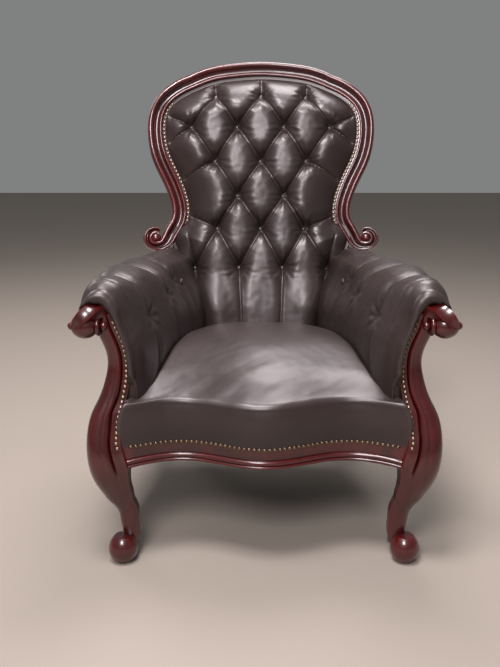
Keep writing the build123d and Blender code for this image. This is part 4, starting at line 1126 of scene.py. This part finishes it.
class ChairLooks(bpy.types.PropertyGroup):
    """Sizes and colours of the chair's leather, wood and brass, and of the stage."""
    back_rise: length("Back rise", "Rise of the back's padding", 0.060, 0.03, 0.08)
    tuft_deep: length("Tuft depth", "Depth of a fold beside a button", 0.026, 0, 0.04)
    fold_deep: length("Fold depth", "Depth of a fold half way between buttons", 0.010, 0, 0.02)
    wrinkles: length("Wrinkles", "Height of the gathers round a button", 0.0011, 0, 0.004)
    tuft_half: length("Puff half width", "Half width of a puff beside a button", 0.044, 0.01, 0.08)
    pit_deep: length("Button depth", "Depth of a button below its folds", 0.008, 0, 0.02)
    arm_tuft: length("Arm folds", "Depth of the pleats across the arms", 0.010, 0, 0.015)
    arm_lip: length("Arm lip", "Radius of the roll round the front of an arm", 0.017, 0.002, 0.024)
    arm_front: length("Arm front", "How far the roll round an arm swells forward", 0.014, 0, 0.02)
    seat_bulge: length("Seat swell", "How far the seat's front swells", 0.014, 0, 0.02)
    seat_round: length("Seat edge", "Radius of the seat's front edge", 0.010, 0.002, 0.03)
    leather_base: colour("Leather", "Colour of the hide", (0.0145, 0.0085, 0.0082))
    leather_worn: colour("Worn leather", "Colour where the hide is rubbed", (0.050, 0.032, 0.030))
    wood_deep: colour("Deep mahogany", "Darkest colour of the polished wood", (0.010, 0.0010, 0.0010))
    wood_warm: colour("Warm mahogany", "Lightest colour of the polished wood", (0.130, 0.006, 0.007))
    brass_dark: colour("Aged brass", "Colour of the nails' tarnish", (0.07, 0.045, 0.03))
    brass_bright: colour("Rubbed brass", "Colour of the nails' domes", (0.36, 0.27, 0.19))
    lens: FloatProperty(
        name="Lens", description="Focal length of the camera", default=42.9, min=10, max=200,
        unit="CAMERA",
    )
    lights: FloatProperty(
        name="Light", description="Strength of the studio lights", default=1.0, min=0, max=5,
        subtype="FACTOR",
    )


def looks():
    """The sizes and colours that the panel shows."""
    return bpy.context.scene.chair_looks


class Millimetres:
    """The panel's lengths, read in millimetres."""

    def __getattr__(self, name):
        return getattr(looks(), name) / MM


def nodes_like(*starts):
    """Solids whose names begin in one of the given ways."""
    return [obj for name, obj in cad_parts.items() if name.startswith(starts)]


def leather():
    """The one leather that all covers share."""
    made = bpy.data.materials.get("buttoned_leather")
    if made:
        return made
    return leather_finish("buttoned_leather", tuple(looks().leather_base), tuple(looks().leather_worn))


class MakeWood(bpy.types.Operator):
    """Finish the show wood and the hidden rails"""
    bl_idname = "chair.wood"
    bl_label = "Frame"

    def execute(self, context):
        show = mahogany_finish("polished_mahogany", tuple(looks().wood_deep), tuple(looks().wood_warm))
        for obj in nodes_like(*SHOW_WOOD):
            shade(obj, show)
            obj.data.polygons.foreach_set("use_smooth", [True] * len(obj.data.polygons))
        plain = plain_wood_finish("beech", *BEECH)
        for obj in nodes_like(*HIDDEN_WOOD):
            shade(obj, plain)
        return {"FINISHED"}


class MakeNails(bpy.types.Operator):
    """Finish the brass nails, the springs and the screws"""
    bl_idname = "chair.nails"
    bl_label = "Nails and springs"

    def execute(self, context):
        brass = brass_finish("antique_brass", tuple(looks().brass_dark), tuple(looks().brass_bright))
        for obj in nodes_like(*NAILS):
            shade(obj, brass)
        for obj in nodes_like("seat_springs"):
            shade(obj, steel_finish("spring_steel", SPRING_STEEL))
        for obj in nodes_like("corner_block_screws"):
            shade(obj, steel_finish("screw_steel", SCREW_STEEL))
        return {"FINISHED"}


class MakeCloths(bpy.types.Operator):
    """Finish the webbing, the hessian and the cloth underneath"""
    bl_idname = "chair.cloths"
    bl_label = "Webbing and cloths"

    def execute(self, context):
        jute = cloth_finish("jute_webbing", *JUTE)
        for obj in nodes_like("seat_webbing", "back_webbing"):
            shade(obj, jute)
        hessian = cloth_finish("hessian", *HESSIAN)
        for obj in nodes_like("seat_hessian", "back_hessian"):
            shade(obj, hessian)
        for obj in nodes_like("bottoming_cloth"):
            shade(obj, cloth_finish("black_cloth", *BLACK_CLOTH))
        return {"FINISHED"}


class MakeBack(bpy.types.Operator):
    """Make the deep-buttoned leather of the back"""
    bl_idname = "chair.back"
    bl_label = "Back"

    def execute(self, context):
        sizes = Millimetres()
        obj = make_back(sizes)
        shade(obj, leather())
        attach(obj, "root")
        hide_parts("back_cover", "back_stuffing")
        out = (0, -math.cos(LEAN), math.sin(LEAN))
        places = []
        for x, up in back_buttons():
            base = back_rise(np.array([[x, up]]), sizes)[0] - BUTTON_SINK
            places.append((lean_point(np.array(x), np.array(up), base), out))
        buttons = make_button("back_button_tops", places)
        shade(buttons, leather())
        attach(buttons, "root")
        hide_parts("back_buttons")
        return {"FINISHED"}


class MakeArms(bpy.types.Operator):
    """Make the padded leather of both arms, with their buttons"""
    bl_idname = "chair.arms"
    bl_label = "Arms"

    def execute(self, context):
        for side, end in ((-1, "left"), (1, "right")):
            obj = make_arm(Millimetres(), side)
            shade(obj, leather())
            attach(obj, "root")
            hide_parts("arm_cover_" + end, "arm_stuffing_" + end)
        places = []
        for centre in loose_centres("arm_buttons"):
            out = (-math.copysign(1.0, centre[0]), *ARM_BUTTON_TURN)
            places.append((tuple(Vector(centre) - Vector(out) * ARM_BUTTON_SINK), out))
        buttons = make_button("arm_button_tops", places)
        shade(buttons, leather())
        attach(buttons, "root")
        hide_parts("arm_buttons")
        return {"FINISHED"}


class MakeSeat(bpy.types.Operator):
    """Make the crowned leather of the seat"""
    bl_idname = "chair.seat"
    bl_label = "Seat"

    def execute(self, context):
        obj = make_seat(Millimetres())
        shade(obj, leather())
        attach(obj, "root")
        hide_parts("seat_cover", "seat_stuffing")
        return {"FINISHED"}


class MakePanels(bpy.types.Operator):
    """Make the leather outside the arms and behind the back"""
    bl_idname = "chair.panels"
    bl_label = "Outside panels"

    def execute(self, context):
        for name, node in (
            ("outside_leather_left", "outside_arm_cover_left"),
            ("outside_leather_right", "outside_arm_cover_right"),
            ("outside_leather_back", "outside_back_cover"),
        ):
            obj = sheet_from_node(name, node)
            shade(obj, leather())
            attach(obj, "root")
            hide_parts(node)
        return {"FINISHED"}


class MakeStage(bpy.types.Operator):
    """Make the floor, the lights and the camera"""
    bl_idname = "chair.stage"
    bl_label = "Stage"

    def execute(self, context):
        scene = context.scene
        mesh = bpy.data.meshes.new("studio_floor")
        corners = [(FLOOR_HALF * x, FLOOR_HALF * y, 0) for x, y in ((-1, -1), (1, -1), (1, 1), (-1, 1))]
        mesh.from_pydata(corners, [], [(0, 1, 2, 3)])
        floor = bpy.data.objects.new("studio_floor", mesh)
        scene.collection.objects.link(floor)
        f = Finish("studio_floor")
        f.set(Base_Color=FLOOR_TINT, Roughness=FLOOR_ROUGHNESS)
        shade(floor, f.material)
        world = bpy.data.worlds.new("studio")
        world.use_nodes = True
        sky = world.node_tree.nodes["Background"].inputs
        sky["Color"].default_value = SKY_TINT
        sky["Strength"].default_value = SKY_STRENGTH * looks().lights
        scene.world = world
        for name, place, size, power in LAMPS:
            lamp = bpy.data.lights.new(name, "AREA")
            lamp.energy = power * looks().lights
            lamp.size = size
            lamp.color = LAMP_TINT
            obj = bpy.data.objects.new(name, lamp)
            obj.location = place
            aim = Vector(LAMP_AIM) - Vector(place)
            obj.rotation_euler = aim.to_track_quat("-Z", "Y").to_euler()
            scene.collection.objects.link(obj)
        camera = bpy.data.objects.new("camera", bpy.data.cameras.new("camera"))
        camera.data.lens = looks().lens
        camera.data.sensor_width = SENSOR
        x, y, z = CAMERA_PLACE
        camera.location = (x * MM, (FRONT_LINE + y) * MM, z * MM)
        camera.rotation_euler = (math.radians(90 - CAMERA_TILT), 0, 0)
        scene.collection.objects.link(camera)
        scene.camera = camera
        scene.view_settings.view_transform = "Standard"
        return {"FINISHED"}


OPERATORS = (MakeWood, MakeNails, MakeCloths, MakeBack, MakeArms, MakeSeat, MakePanels, MakeStage)


class ChairPanel(bpy.types.Panel):
    bl_idname = "VIEW3D_PT_chair"
    bl_label = "Spoon Back Chair"
    bl_space_type = "VIEW_3D"
    bl_region_type = "UI"
    bl_category = "Chair"

    def draw(self, context):
        for key in ChairLooks.__annotations__:
            self.layout.prop(context.scene.chair_looks, key)
        for operator in OPERATORS:
            self.layout.operator(operator.bl_idname)


def register():
    for cls in (ChairLooks, *OPERATORS, ChairPanel):
        bpy.utils.register_class(cls)
    bpy.types.Scene.chair_looks = PointerProperty(type=ChairLooks)


def unregister():
    del bpy.types.Scene.chair_looks
    for cls in (ChairPanel, *OPERATORS[::-1], ChairLooks):
        bpy.utils.unregister_class(cls)


def main():
    register()
    bpy.ops.chair.wood()
    bpy.ops.chair.nails()
    bpy.ops.chair.cloths()
    bpy.ops.chair.back()
    bpy.ops.chair.arms()
    bpy.ops.chair.seat()
    bpy.ops.chair.panels()
    bpy.ops.chair.stage()


if __name__ == "__main__":
    main()
